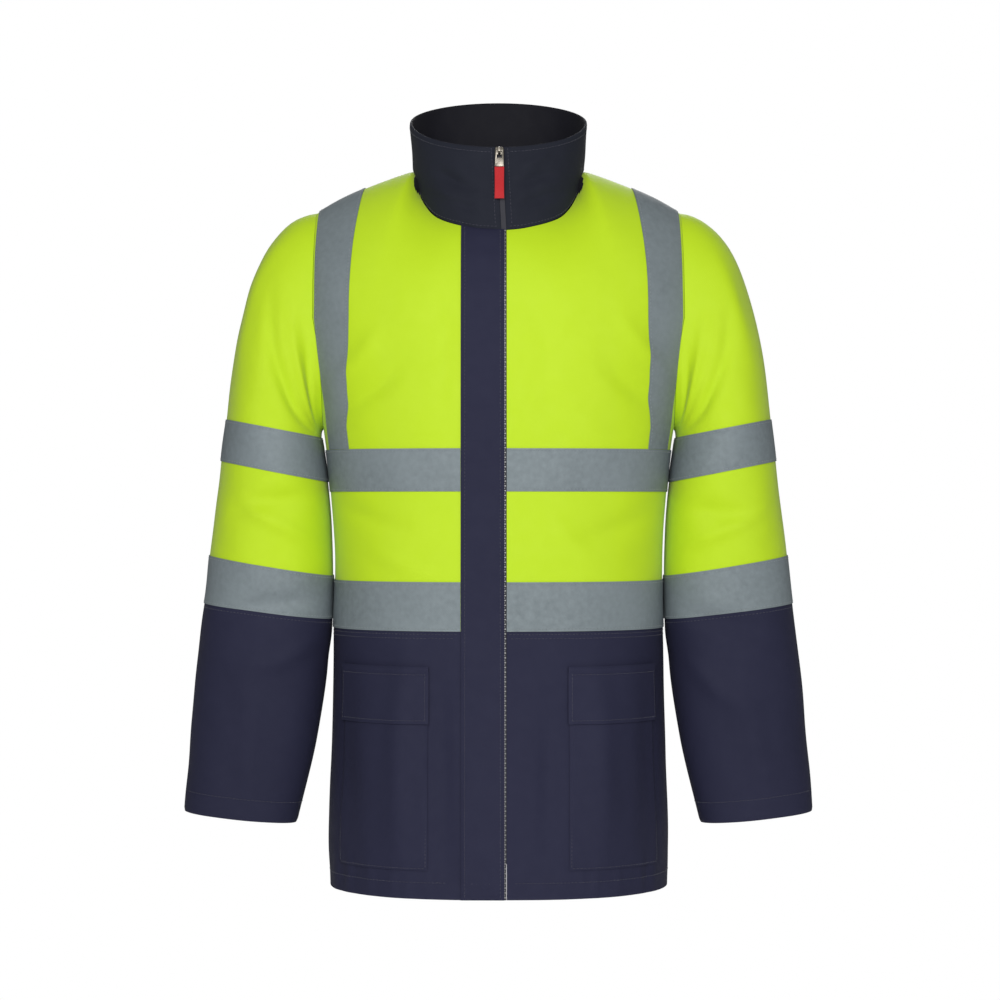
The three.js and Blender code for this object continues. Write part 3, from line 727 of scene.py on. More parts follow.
@dataclass(frozen=True)
class TapeFinish:
    """Grey glass-bead reflective tape with a fine ribbed ground and scuffs."""

    name: str
    colour: tuple[float, float, float]
    shade: tuple[float, float, float]
    rib: float = 1.3 * MM

    def material(self) -> bpy.types.Material:
        """Build the material."""
        nodes = Nodes(self.name)
        shader = nodes.shader
        shader.inputs["Specular IOR Level"].default_value = 0.3
        shader.inputs["Metallic"].default_value = 0.08
        uv = nodes.add("ShaderNodeUVMap", uv_map="cloth")
        ribs = nodes.add("ShaderNodeTexWave", bands_direction="DIAGONAL", scale=math.pi / 10 / self.rib,
                         distortion=0.4, detail=1.0)
        nodes.link(uv, "UV", ribs, "Vector")
        beads = nodes.add("ShaderNodeTexVoronoi", scale=2600.0)
        place_at = nodes.add("ShaderNodeTexCoord")
        nodes.link(place_at, "Object", beads, "Vector")
        broad = nodes.noise(9.0, 4.0)
        scuff = nodes.noise(160.0, 5.0)
        worn = nodes.maths("MULTIPLY", (broad, "Fac"), (scuff, "Fac"))
        amount = nodes.maths("MULTIPLY", (worn, 0), 2.0)
        base = nodes.blend((amount, 0), linear(self.colour), linear(self.shade))
        nodes.link(base, 2, shader, "Base Color")
        rough = nodes.maths("MULTIPLY_ADD", (scuff, "Fac"), 0.25)
        rough.inputs[2].default_value = 0.5
        nodes.link(rough, 0, shader, "Roughness")
        height = nodes.maths("MULTIPLY_ADD", (beads, "Distance"), 0.5)
        nodes.link(ribs, "Fac", height, 2)
        bump = nodes.add("ShaderNodeBump", strength=0.22, distance=0.12 * MM)
        nodes.link(height, 0, bump, "Height")
        nodes.link(bump, "Normal", shader, "Normal")
        return nodes.material


@dataclass(frozen=True)
class MetalFinish:
    """Plated metal with fine scratches and cloudy darker patches."""

    name: str
    colour: tuple[float, float, float]
    roughness: float = 0.32
    metallic: float = 1.0

    def material(self) -> bpy.types.Material:
        """Build the material."""
        nodes = Nodes(self.name)
        shader = nodes.shader
        shader.inputs["Metallic"].default_value = self.metallic
        cloud = nodes.noise(260.0, 5.0)
        scratch = nodes.noise(1400.0, 3.0)
        dark = tuple(c * 0.5 for c in linear(self.colour)[:3]) + (1.0,)
        amount = nodes.maths("MULTIPLY", (cloud, "Fac"), 0.6)
        base = nodes.blend((amount, 0), linear(self.colour), dark)
        nodes.link(base, 2, shader, "Base Color")
        rough = nodes.maths("MULTIPLY_ADD", (scratch, "Fac"), 0.3)
        rough.inputs[2].default_value = self.roughness - 0.1
        nodes.link(rough, 0, shader, "Roughness")
        bump = nodes.add("ShaderNodeBump", strength=0.15, distance=0.05 * MM)
        nodes.link(scratch, "Fac", bump, "Height")
        nodes.link(bump, "Normal", shader, "Normal")
        return nodes.material


@dataclass
class Wardrobe:
    """All the finishes of the jacket."""

    yellow: bpy.types.Material = field(init=False)
    navy: bpy.types.Material = field(init=False)
    lining: bpy.types.Material = field(init=False)
    collar: bpy.types.Material = field(init=False)
    tape: bpy.types.Material = field(init=False)
    zip_tape: bpy.types.Material = field(init=False)
    teeth: bpy.types.Material = field(init=False)
    metal: bpy.types.Material = field(init=False)
    ribbon: bpy.types.Material = field(init=False)
    yellow_thread: bpy.types.Material = field(init=False)
    navy_thread: bpy.types.Material = field(init=False)
    grey_thread: bpy.types.Material = field(init=False)

    def __post_init__(self) -> None:
        """Build every material once."""
        self.yellow = WovenFinish("yellow_oxford", (188, 219, 26), (170, 206, 8)).material()
        self.navy = WovenFinish("navy_oxford", (42, 43, 66), (28, 29, 47), relief=0.5, sheen=0.01, specular=0.14).material()
        self.lining = WovenFinish("dark_lining", (26, 26, 33), (18, 18, 24), yarn=0.5 * MM,
                                  roughness=0.6, sheen=0.02, specular=0.12).material()
        self.collar = WovenFinish("collar_oxford", (36, 39, 50), (25, 27, 36), roughness=0.75,
                                  sheen=0.02, specular=0.14).material()
        self.tape = TapeFinish("reflective_tape", (122, 132, 136), (104, 113, 117)).material()
        self.zip_tape = WovenFinish("zip_tape", (52, 52, 60), (40, 40, 47), yarn=0.6 * MM).material()
        self.teeth = MetalFinish("zip_teeth", (150, 150, 150), 0.4, 0.6).material()
        self.metal = MetalFinish("zip_metal", (140, 134, 124)).material()
        self.ribbon = WovenFinish("red_ribbon", (196, 28, 34), (160, 18, 26), yarn=0.7 * MM,
                                  sheen=0.3).material()
        thread = {"yarn": 0.35 * MM, "relief": 0.6, "sheen": 0.3, "patchiness": 0.8}
        self.yellow_thread = WovenFinish("yellow_thread", (176, 208, 30), (150, 182, 18), **thread).material()
        self.navy_thread = WovenFinish("navy_thread", (52, 53, 74), (38, 39, 56), **thread).material()
        self.grey_thread = WovenFinish("grey_thread", (140, 148, 150), (118, 126, 128), **thread).material()


# ------------------------------------------------------------------ sleeves
@dataclass(frozen=True)
class SleeveForm:
    """Smooth surface of a sleeve.

    A place is a turn (0 at the outer line, 5 at the front, 10 under the arm, 15 at the back) and a
    level: 0 at the armhole, 1 at the first ring, then one for each ring down to the cuff at 8.
    """

    roundness: float = 2.15
    # outer x, outer z, inner x, inner z, half-depth, middle y
    rings: tuple[tuple[float, ...], ...] = (
        (309.5, -262, 203.5, -283, 75, 0), (315, -309, 196.5, -333, 73, 0),
        (321.5, -362, 192, -386, 70, -1), (328, -416, 190.5, -439, 66, -3),
        (333.7, -470, 191.2, -488, 62, -5), (341, -530, 194.5, -543, 57, -8),
        (348.5, -610, 206, -622, 49, -12), (356, -704.5, 228.6, -718, 41, -15),
    )

    def edge(self, turn: Array) -> Array:
        """Armhole loop on the +X side."""
        level = np.where(turn <= 10, turn / 5, (20 - turn) / 5)
        column = np.full_like(level, 10.0)
        front = TORSO.point(Face.FRONT, column, level)
        back = TORSO.point(Face.BACK, column, level)
        loop = np.where((turn <= 10)[..., None], front, back)
        return loop + np.array([GAP, 0, 0])

    def ring(self, turn: Array, number: Array) -> Array:
        """Point of a ring."""
        table = np.array(self.rings) * MM
        knots = np.arange(len(self.rings), dtype=float)
        out_x, out_z, in_x, in_z, depth, middle = (
            smooth_table(knots, table[:, i], number) for i in range(6))
        angle = turn * math.pi / 10
        power = 2 / self.roundness
        across = np.sign(np.cos(angle)) * np.abs(np.cos(angle)) ** power
        deep = np.sign(np.sin(angle)) * np.abs(np.sin(angle)) ** power
        share = (1 + across) / 2
        return np.stack([in_x + (out_x - in_x) * share, middle - depth * deep,
                         in_z + (out_z - in_z) * share], axis=-1)

    def point(self, turn: Array, level: Array) -> Array:
        """Point on the +X sleeve."""
        turn, level = np.broadcast_arrays(np.asarray(turn, float) % 20, np.asarray(level, float))
        lower = self.ring(turn, np.clip(level - 1, 0, 7))
        edge = self.edge(turn)
        bulge = edge + (lower - edge) * np.array([0.8, 0.75, 0.03])
        t = np.clip(level, 0, 1)[..., None]
        head = edge * (1 - t) ** 2 + bulge * 2 * t * (1 - t) + lower * t**2
        return np.where((level < 1)[..., None], head, lower)

    @staticmethod
    def flat_of(turn: Array, level: Array) -> tuple[Array, Array]:
        """Rough flat place in metres, for drawing creases."""
        return turn * 0.021, np.where(level < 1, 0.2 * level, 0.2 + 0.062 * (level - 1))


SLEEVE = SleeveForm()

RIGHT_SLEEVE_CREASES = (
    Crease((0.200, 0.190), (0.060, 0.075), 0.013, -0.0048, 0.014),
    Crease((0.205, 0.150), (0.085, 0.030), 0.011, 0.0036, 0.010),
    Crease((0.195, 0.120), (0.110, 0.010), 0.009, -0.0028, 0.006),
    Crease((0.040, 0.020), (0.050, 0.190), 0.014, 0.0022, -0.008),
    Crease((0.185, 0.285), (0.050, 0.330), 0.012, -0.0036, -0.010),
    Crease((0.180, 0.345), (0.060, 0.300), 0.010, 0.0028, 0.008),
    Crease((0.190, 0.420), (0.040, 0.475), 0.013, -0.0040, -0.012),
    Crease((0.180, 0.470), (0.070, 0.520), 0.011, 0.0030, 0.008),
    Crease((0.090, 0.500), (0.110, 0.640), 0.012, 0.0024, 0.005),
    Crease((0.240, 0.100), (0.380, 0.030), 0.013, -0.0042, 0.010),
    Crease((0.225, 0.300), (0.370, 0.350), 0.013, -0.0036, 0.010),
    Crease((0.230, 0.440), (0.350, 0.520), 0.013, 0.0032, -0.008),
)
LEFT_SLEEVE_CREASES = (
    Crease((0.202, 0.180), (0.066, 0.090), 0.014, -0.0044, 0.016),
    Crease((0.200, 0.135), (0.095, 0.040), 0.011, 0.0032, 0.008),
    Crease((0.190, 0.105), (0.120, 0.014), 0.009, -0.0026, 0.005),
    Crease((0.045, 0.030), (0.060, 0.180), 0.014, 0.0020, 0.008),
    Crease((0.190, 0.300), (0.060, 0.345), 0.012, -0.0034, -0.012),
    Crease((0.175, 0.350), (0.050, 0.315), 0.010, 0.0026, 0.006),
    Crease((0.185, 0.435), (0.050, 0.500), 0.013, -0.0038, -0.010),
    Crease((0.170, 0.490), (0.080, 0.560), 0.010, 0.0026, 0.007),
    Crease((0.110, 0.510), (0.095, 0.640), 0.012, 0.0022, -0.004),
    Crease((0.235, 0.110), (0.370, 0.040), 0.013, -0.0040, 0.010),
    Crease((0.230, 0.310), (0.360, 0.360), 0.013, -0.0034, 0.008),
    Crease((0.235, 0.450), (0.360, 0.500), 0.013, 0.0030, -0.008),
)


def sleeve_patch(side: Side, levels: tuple[float, float], spacing: float = 4 * MM) -> Patch:
    """Cut a tube from a sleeve, with its creases.

    Args:
        side: Wearer's side.
        levels: First and last level.
        spacing: Distance between grid lines.

    Returns:
        The patch; its first index closes on itself.
    """
    turns = np.linspace(0, 20, 104, endpoint=False)
    fine = np.linspace(levels[0], levels[1], 400)
    line = SLEEVE.point(np.full_like(fine, 5.0), fine)
    ls = even_steps(line, fine, spacing)
    turn, level = np.meshgrid(turns, ls, indexing="ij")
    points = SLEEVE.point(turn, level)
    inner = ((1 - np.cos(turn * math.pi / 10)) / 2) ** 2
    z = points[..., 2]
    points[..., 0] -= 2.0 * MM * inner * steady(-z, 0.264, 0.292) * (1 - steady(-z, 0.500, 0.535))
    middle = points.mean(axis=0, keepdims=True)
    padded = np.concatenate([points[-1:], points, points[:1]])
    normals = grid_normals(padded, padded - middle)[1:-1]
    flat = flat_map(points, wrap=True)
    flip = np.array([side.value, 1, 1])
    points, normals = points * flip, normals * flip
    u, v = SLEEVE.flat_of(turn, level)
    creases = RIGHT_SLEEVE_CREASES if side is Side.RIGHT else LEFT_SLEEVE_CREASES
    height = 1.3 * relief(creases, u, v) + ripple(points, 0.13, 0.9 * MM)
    under_arm = np.clip((np.abs(turn - 10) - 1.2) / 2.5, 0, 1)
    seam = np.clip(level / 0.12, 0, 1)
    return Patch(points + normals * (height * seam * under_arm)[..., None], normals, flat)


def close_flat_map(obj: bpy.types.Object, girth: float) -> None:
    """Let the flat map run on across the closing seam of a tube."""
    layer = obj.data.uv_layers["cloth"]
    values = np.empty(len(layer.data) * 2, dtype=np.float32)
    layer.data.foreach_get("uv", values)
    quads = values.reshape(-1, 4, 2)
    high = quads[:, :, 0].max(axis=1, keepdims=True)
    quads[:, :, 0] += np.where(high - quads[:, :, 0] > girth / 2, girth, 0)
    layer.data.foreach_set("uv", quads.ravel())


def tube_size(patch: Patch) -> tuple[float, float, float]:
    """Girth, length and area of a tube's flat cut."""
    closed = Patch(*(np.concatenate([grid, grid[:1]]) for grid in (patch.points, patch.normals, patch.flat)))
    return closed.size()


# ------------------------------------------------------------------ stitches
@dataclass
class ThreadWork:
    """Rows of stitches gathered into one mesh."""

    length: float = 2.9 * MM
    pitch: float = 4.1 * MM
    radius: float = 0.34 * MM
    vertices: list[Array] = field(default_factory=list)
    faces: list[Array] = field(default_factory=list)
    count: int = 0

    def template(self) -> tuple[Array, list]:
        """One stitch along X with Y across and Z up."""
        rings = [(-0.36, 0.75, 0.12), (0.0, 1.0, 0.30), (0.36, 0.75, 0.12)]
        corners = []
        for place_on, girth, lift in rings:
            for step in range(4):
                angle = math.pi / 4 + step * math.pi / 2
                corners.append((place_on * self.length, math.cos(angle) * self.radius * girth * 1.3,
                                (math.sin(angle) * girth + lift) * self.radius))
        corners += [(-0.5 * self.length, 0, -self.radius), (0.5 * self.length, 0, -self.radius)]
        faces = []
        for ring in range(2):
            for step in range(4):
                nxt = (step + 1) % 4
                a, b = ring * 4 + step, ring * 4 + nxt
                faces += [(a, a + 4, b + 4), (a, b + 4, b)]
        for step in range(4):
            nxt = (step + 1) % 4
            faces += [(12, step, nxt), (13, 8 + nxt, 8 + step)]
        return np.array(corners), faces

    def run(self, points: Array, normals: Array) -> None:
        """Sew along a line.

        Args:
            points: Places on the cloth.
            normals: Outward normals there.
        """
        gaps = np.linalg.norm(np.diff(points, axis=0), axis=1)
        total = gaps.sum()
        number = int(total / self.pitch)
        if number < 1:
            return
        travel = np.concatenate([[0], np.cumsum(gaps)])
        centres = (np.arange(number) + 0.5) * total / number

        def at(distance: Array, grid: Array) -> Array:
            return np.stack([np.interp(distance, travel, grid[:, i]) for i in range(3)], axis=1)

        middle, normal = at(centres, points), at(centres, normals)
        tangent = at(centres + 0.5 * MM, points) - at(centres - 0.5 * MM, points)
        tangent /= np.maximum(np.linalg.norm(tangent, axis=1, keepdims=True), 1e-9)
        normal -= tangent * np.sum(normal * tangent, axis=1, keepdims=True)
        normal /= np.maximum(np.linalg.norm(normal, axis=1, keepdims=True), 1e-9)
        across = np.cross(normal, tangent)
        corners, faces = self.template()
        basis = np.stack([tangent, across, normal], axis=1)
        placed = np.einsum("vk,nkc->nvc", corners, basis) + middle[:, None, :]
        size = len(corners)
        self.vertices.append(placed.reshape(-1, 3))
        shift = self.count + np.arange(number)[:, None, None] * size
        self.faces.append((np.array(faces)[None] + shift).reshape(-1, 3))
        self.count += number * size

    def edges(self, patch: Patch, height: float, margin: float, names: tuple[str, ...]) -> None:
        """Sew along chosen edges of a patch.

        Args:
            patch: Cloth that is sewn.
            height: Height of the cloth's outer face above the patch.
            margin: Distance of the row from the edge.
            names: Edges: start, end, top, bottom.
        """
        points, normals, flat = patch.lifted(height), patch.normals, patch.flat
        for name in names:
            swap = name in ("start", "end")
            grids = [grid.transpose(1, 0, 2) if swap else grid for grid in (points, normals)]
            run = flat[..., 0].T if swap else flat[..., 1]
            if name in ("end", "bottom"):
                run = run[:, -1:] - run
            else:
                run = run - run[:, :1]
            lines = []
            for grid in grids:
                rows = []
                for travel, values in zip(run, grid):
                    order = np.argsort(travel)
                    rows.append([np.interp(margin, travel[order], values[order, i]) for i in range(3)])
                lines.append(np.array(rows))
            trim = max(1, int(round(margin / (4 * MM))))
            self.run(lines[0][trim:-trim], lines[1][trim:-trim])

    def build(self, name: str, material: bpy.types.Material, slot: str, body: str = BODY) -> None:
        """Make the mesh of all the rows and fasten it."""
        vertices = np.concatenate(self.vertices)
        faces = np.concatenate(self.faces).tolist()
        obj = new_object(name, vertices, faces, [material], uvs=vertices[:, [0, 2]])
        place(obj, body=body)


# ------------------------------------------------------------------ sub-assemblies
def rolled(patch: Patch, low: float, high: float, radius: float,
           edges: tuple[str, ...] = ("start", "end", "top", "bottom")) -> tuple[Array, Array]:
    """Heights of the two faces of a wall whose edges are rolled over.

    Args:
        patch: Surface that the cloth follows.
        low: Height of the inner face.
        high: Height of the outer face.
        radius: Distance from the edge where the wall reaches its full thickness.
        edges: Edges that are rolled.

    Returns:
        Inner and outer heights over the grid.
    """
    u, v = patch.flat[..., 0], patch.flat[..., 1]
    distance = np.full(u.shape, 1.0)
    choices = {"start": u - u[:1], "end": u[-1:] - u, "top": v - v[:, :1], "bottom": v[:, -1:] - v}
    for edge in edges:
        distance = np.minimum(distance, choices[edge])
    share = np.sqrt(1 - (1 - np.clip(distance / radius, 0, 1)) ** 2)
    half = (high - low) / 2 * (0.25 + 0.75 * share)
    middle = low + (high - low) / 2
    return middle - half, middle + half


@dataclass
class Body:
    """Yellow fronts and back over the navy skirt."""

    finishes: Wardrobe
    wall: float = 1.7 * MM
    waist_z: float = -497 * MM
    hem_z: float = -788 * MM
    right_edge_x: float = -3.0 * MM
    left_edge_x: float = 9.0 * MM

    def panel(self, name: str, patch: Patch, finish: bpy.types.Material) -> None:
        """Make one panel that stands for the node of the same name."""
        obj = cloth_shell(f"{name}_cloth", patch, -self.wall, 0.0, [finish, self.finishes.lining])
        place(obj, (name,))
        declare(patch)

    def build(self) -> None:
        """Make the fronts, the back and the skirts."""
        waist = TORSO.level_of(self.waist_z)
        hem = TORSO.level_of(self.hem_z)
        small = 0.15 * MM
        for side in Side:
            edge = self.right_edge_x if side is Side.RIGHT else self.left_edge_x
            upper = torso_patch(Face.FRONT, side, (0, 9.995), (0.004, waist - small), start_x=edge)
            self.panel(f"front_{side.label}", upper, self.finishes.yellow)
            lower = torso_patch(Face.FRONT, side, (0, 9.995), (waist + small, hem), start_x=edge)
            self.panel(f"front_{side.label}_skirt", lower, self.finishes.navy)
        for name, finish, slot, levels in (
                ("back", self.finishes.yellow, "yellow_cloth", (0.004, waist - small)),
                ("back_skirt", self.finishes.navy, "navy_cloth", (waist + small, hem))):
            self.panel(name, whole_back(levels), finish)


def whole_back(levels: tuple[float, float], columns: float = 9.995) -> Patch:
    """Both halves of the back in one patch, from the wearer's right to left."""
    right = torso_patch(Face.BACK, Side.RIGHT, (0, columns), levels)
    left = torso_patch(Face.BACK, Side.LEFT, (0, columns), levels)
    width = right.flat[..., 0].max(axis=0)
    mirrored = Patch(right.points[:0:-1], right.normals[:0:-1],
                     np.stack([width - right.flat[:0:-1, :, 0], right.flat[:0:-1, :, 1]], axis=-1))
    moved = Patch(left.points, left.normals,
                  np.stack([width + left.flat[..., 0], left.flat[..., 1]], axis=-1))
    return mirrored.joined(moved)


@dataclass
class Sleeves:
    """Yellow sleeves with navy ends and two tapes each."""

    finishes: Wardrobe
    wall: float = 1.7 * MM
    tape_low: float = 0.35 * MM
    tape_high: float = 1.15 * MM
    upper_levels: tuple[float, float] = (1.0, 2.0)
    lower_levels: tuple[float, float] = (4.0, 5.0)
    colour_level: float = 5.0
    cuff_level: float = 8.0

    def tube(self, name: str, nodes: tuple[str, ...], patch: Patch, heights: tuple,
             materials: list) -> bpy.types.Object:
        """Make one tube of cloth."""
        obj = cloth_shell(name, patch, heights[0], heights[1], materials, loop=True)
        girth, length, area = tube_size(patch)
        close_flat_map(obj, float(patch.flat[-1, :, 0].mean()))
        place(obj, nodes)
        return obj

    def build(self, tape_thread: ThreadWork, navy_thread: ThreadWork) -> None:
        """Make both sleeves and sew their tapes and cuffs."""
        cloth = self.finishes
        for side in Side:
            name = f"sleeve_{side.label}"
            upper = sleeve_patch(side, (0.0, self.colour_level - 0.003))
            self.tube(f"{name}_cloth", (name,), upper, (-self.wall, 0.0),
                      [cloth.yellow, cloth.lining])
            lower = sleeve_patch(side, (self.colour_level + 0.003, self.cuff_level))
            self.tube(f"{name}_end_cloth", (f"{name}_end",), lower,
                      rolled(lower, -self.wall - 0.4 * MM, 0.2 * MM, 1.6 * MM, ("bottom",)),
                      [cloth.navy, cloth.lining])
            navy_thread.edges(lower, 0.25 * MM, 24 * MM, ("bottom",))
            navy_thread.edges(lower, 0.05 * MM, 4 * MM, ("top",))
            for label, levels in (("upper", self.upper_levels), ("lower", self.lower_levels)):
                strip = sleeve_patch(side, levels, 3.2 * MM)
                node = f"{name}_band_{label}"
                self.tube(f"{node}_tape", (node,), strip, (self.tape_low, self.tape_high),
                          [cloth.tape])
                tape_thread.edges(strip, self.tape_high, 2.6 * MM, ("top", "bottom"))


@dataclass
class BodyTapes:
    """Reflective tape over the shoulders and round the body."""

    finishes: Wardrobe
    low: float = 0.35 * MM
    high: float = 1.15 * MM
    chest_z: tuple[float, float] = (-297 * MM, -344 * MM)
    waist_z: tuple[float, float] = (-443 * MM, -496.8 * MM)

    def strip(self, node: str, patch: Patch, thread: ThreadWork, edges: tuple[str, ...]) -> None:
        """Make one length of tape and sew its edges."""
        obj = cloth_shell(f"{node}_tape", patch, self.low, self.high, [self.finishes.tape])
        place(obj, (node,))
        declare(patch)
        thread.edges(patch, self.high, 2.6 * MM, edges)

    def build(self, thread: ThreadWork) -> None:
        """Make all the tapes of the body."""
        chest_top = TORSO.level_of(self.chest_z[0])
        for side in Side:
            for face in Face:
                brace = torso_patch(face, side, (6, 8), (0.004, chest_top - GAP), 3.2 * MM)
                self.strip(f"brace_{face.value}_{side.label}", brace, thread, ("start", "end"))
            for name, zs in (("chest_band", self.chest_z), ("waist_band", self.waist_z)):
                levels = (TORSO.level_of(zs[0]), TORSO.level_of(zs[1]))
                first, edge = (2.015, None) if side is Side.RIGHT else (0, 9.0 * MM)
                band = torso_patch(Face.FRONT, side, (first, 9.995), levels, 3.2 * MM, start_x=edge)
                self.strip(f"{name}_{side.label}", band, thread, ("top", "bottom"))
        for name, zs in (("chest_band", self.chest_z), ("waist_band", self.waist_z)):
            levels = (TORSO.level_of(zs[0]), TORSO.level_of(zs[1]))
            self.strip(f"{name}_back", whole_back(levels), thread, ("top", "bottom"))


@dataclass(frozen=True)
class CollarForm:
    """Stand collar from the neckline to its leaning top edge.

    A place is a turn (0 at the right front edge, 5 at the right side, 10 at the back, 20 at the left
    front edge) and a level, 0 at the neckline and 1 at the top.
    """

    half_width: float = 101 * MM
    front_y: float = -80 * MM
    back_y: float = 76 * MM
    side_z: float = 77.5 * MM
    front_z: float = 38 * MM
    back_z: float = 111 * MM
    neck_x: float = 97 * MM
    zip_x: tuple[float, float] = (6 * MM, 1 * MM)
    zip_half: float = 2.7 * MM

    def point(self, turn: Array, level: Array) -> Array:
        """Point of the collar's outer face."""
        turn, level = np.broadcast_arrays(np.asarray(turn, float), np.asarray(level, float))
        side = np.where(turn <= 10, -1.0, 1.0)
        quarter = np.where(turn <= 10, turn, 20 - turn)
        is_front = quarter <= 5
        column = np.where(is_front, quarter, 10 - quarter)
        knots = np.arange(6.0)

        def read(name: str) -> Array:
            values = np.array([getattr(item, name) for item in TORSO.columns[:6]]) * MM
            return smooth_table(knots, values, column)

        sine = np.clip(read("top_x") / self.neck_x, 0, 1)
        cosine = np.sqrt(1 - sine**2)
        base = np.stack([read("top_x"), np.where(is_front, read("front_y"), read("back_y")),
                         np.where(is_front, read("front_z"), read("back_z")) + GAP], axis=-1)
        end_y = np.where(is_front, self.front_y, self.back_y)
        end_z = np.where(is_front, self.front_z, self.back_z)
        top = np.stack([self.half_width * sine, end_y * cosine,
                        self.side_z + (end_z - self.side_z) * cosine], axis=-1)
        point = base + (top - base) * level[..., None]
        point[..., 0] *= side
        middle = self.zip_x[0] + (self.zip_x[1] - self.zip_x[0]) * level
        near = np.clip(1 - quarter, 0, 1)
        edge = middle + side * (self.zip_half + GAP)
        point[..., 0] += near * (edge - 0.0)
        return point


COLLAR = CollarForm()


@dataclass
class Collar:
    """Padded stand collar with a rolled top edge and soft wrinkles."""

    finishes: Wardrobe
    wall: float = 3.0 * MM
    creases: tuple[Crease, ...] = (
        Crease((-0.075, 0.020), (-0.020, -0.012), 0.006, -0.0022, 0.004),
        Crease((-0.080, 0.000), (-0.022, -0.028), 0.005, 0.0014, 0.003),
        Crease((-0.060, -0.010), (-0.016, -0.040), 0.005, -0.0014, 0.002),
        Crease((0.016, -0.010), (0.070, 0.012), 0.006, -0.0020, -0.003),
        Crease((0.020, -0.034), (0.078, -0.010), 0.006, -0.0016, -0.004),
        Crease((0.018, 0.014), (0.060, 0.034), 0.005, 0.0012, 0.002),
    )

    def patch(self) -> Patch:
        """Grid of the collar."""
        fine = np.linspace(0, 20, 500)
        turns = even_steps(COLLAR.point(fine, np.full_like(fine, 0.5)), fine, 3.5 * MM)
        levels = np.concatenate([np.linspace(0, 0.93, 30), [0.955, 0.975, 0.988, 0.996, 1.0]])
        turn, level = np.meshgrid(turns, levels, indexing="ij")
        points = COLLAR.point(turn, level)
        normals = grid_normals(points, points * np.array([1, 1, 0]))
        front = (points[..., 1] < 0).astype(float)
        height = 1.9 * relief(self.creases, points[..., 0], points[..., 2]) * front
        height += ripple(points, 0.07, 0.6 * MM)
        keep = np.clip(level / 0.12, 0, 1) * np.clip((1 - level) / 0.08, 0, 1)
        return Patch(points + normals * (height * keep)[..., None], normals, flat_map(points))

    def build(self, thread: ThreadWork) -> None:
        """Make the collar and its stitching."""
        patch = self.patch()
        low, high = rolled(patch, -self.wall, 0.3 * MM, 4.0 * MM, ("top",))
        top_low, top_high = rolled(patch, -self.wall, 0.3 * MM, 3.0 * MM, ("bottom", "start", "end"))
        obj = cloth_shell("collar_cloth", patch, np.maximum(low, top_low), np.minimum(high, top_high),
                          [self.finishes.collar, self.finishes.lining])
        place(obj, ("collar",))
        declare(patch)
        thread.edges(patch, 0.3 * MM, 6 * MM, ("bottom", "start", "end"))
        thread.edges(patch, 0.25 * MM, 3.5 * MM, ("top",))


@dataclass
class StormFlap:
    """Navy strip that covers the zip from the neckline to the hem."""

    finishes: Wardrobe
    low: float = 0.5 * MM
    high: float = 2.6 * MM
    free_edge_x: float = -6.5 * MM
    hem_z: float = -788 * MM

    def build(self, thread: ThreadWork) -> None:
        """Make the strip and sew its edges."""
        patch = torso_patch(Face.FRONT, Side.RIGHT, (0, 2), (0.006, TORSO.level_of(self.hem_z)), 2.6 * MM,
                            start_x=self.free_edge_x)
        low, high = rolled(patch, self.low, self.high, 2.2 * MM, ("start", "end", "top", "bottom"))
        pucker = 0.35 * MM * np.sin(patch.flat[..., 1] * 2 * math.pi / 0.031) \
            * np.sin(np.pi * np.clip(patch.flat[..., 0] / patch.flat[-1:, :, 0], 0, 1))
        obj = cloth_shell("storm_flap_cloth", patch, low + pucker, high + pucker, [self.finishes.navy])
        place(obj, ("placket",))
        declare(patch)
        thread.edges(patch, self.high, 4.5 * MM, ("start", "end"))
        thread.edges(patch, self.high, 18 * MM, ("bottom",))


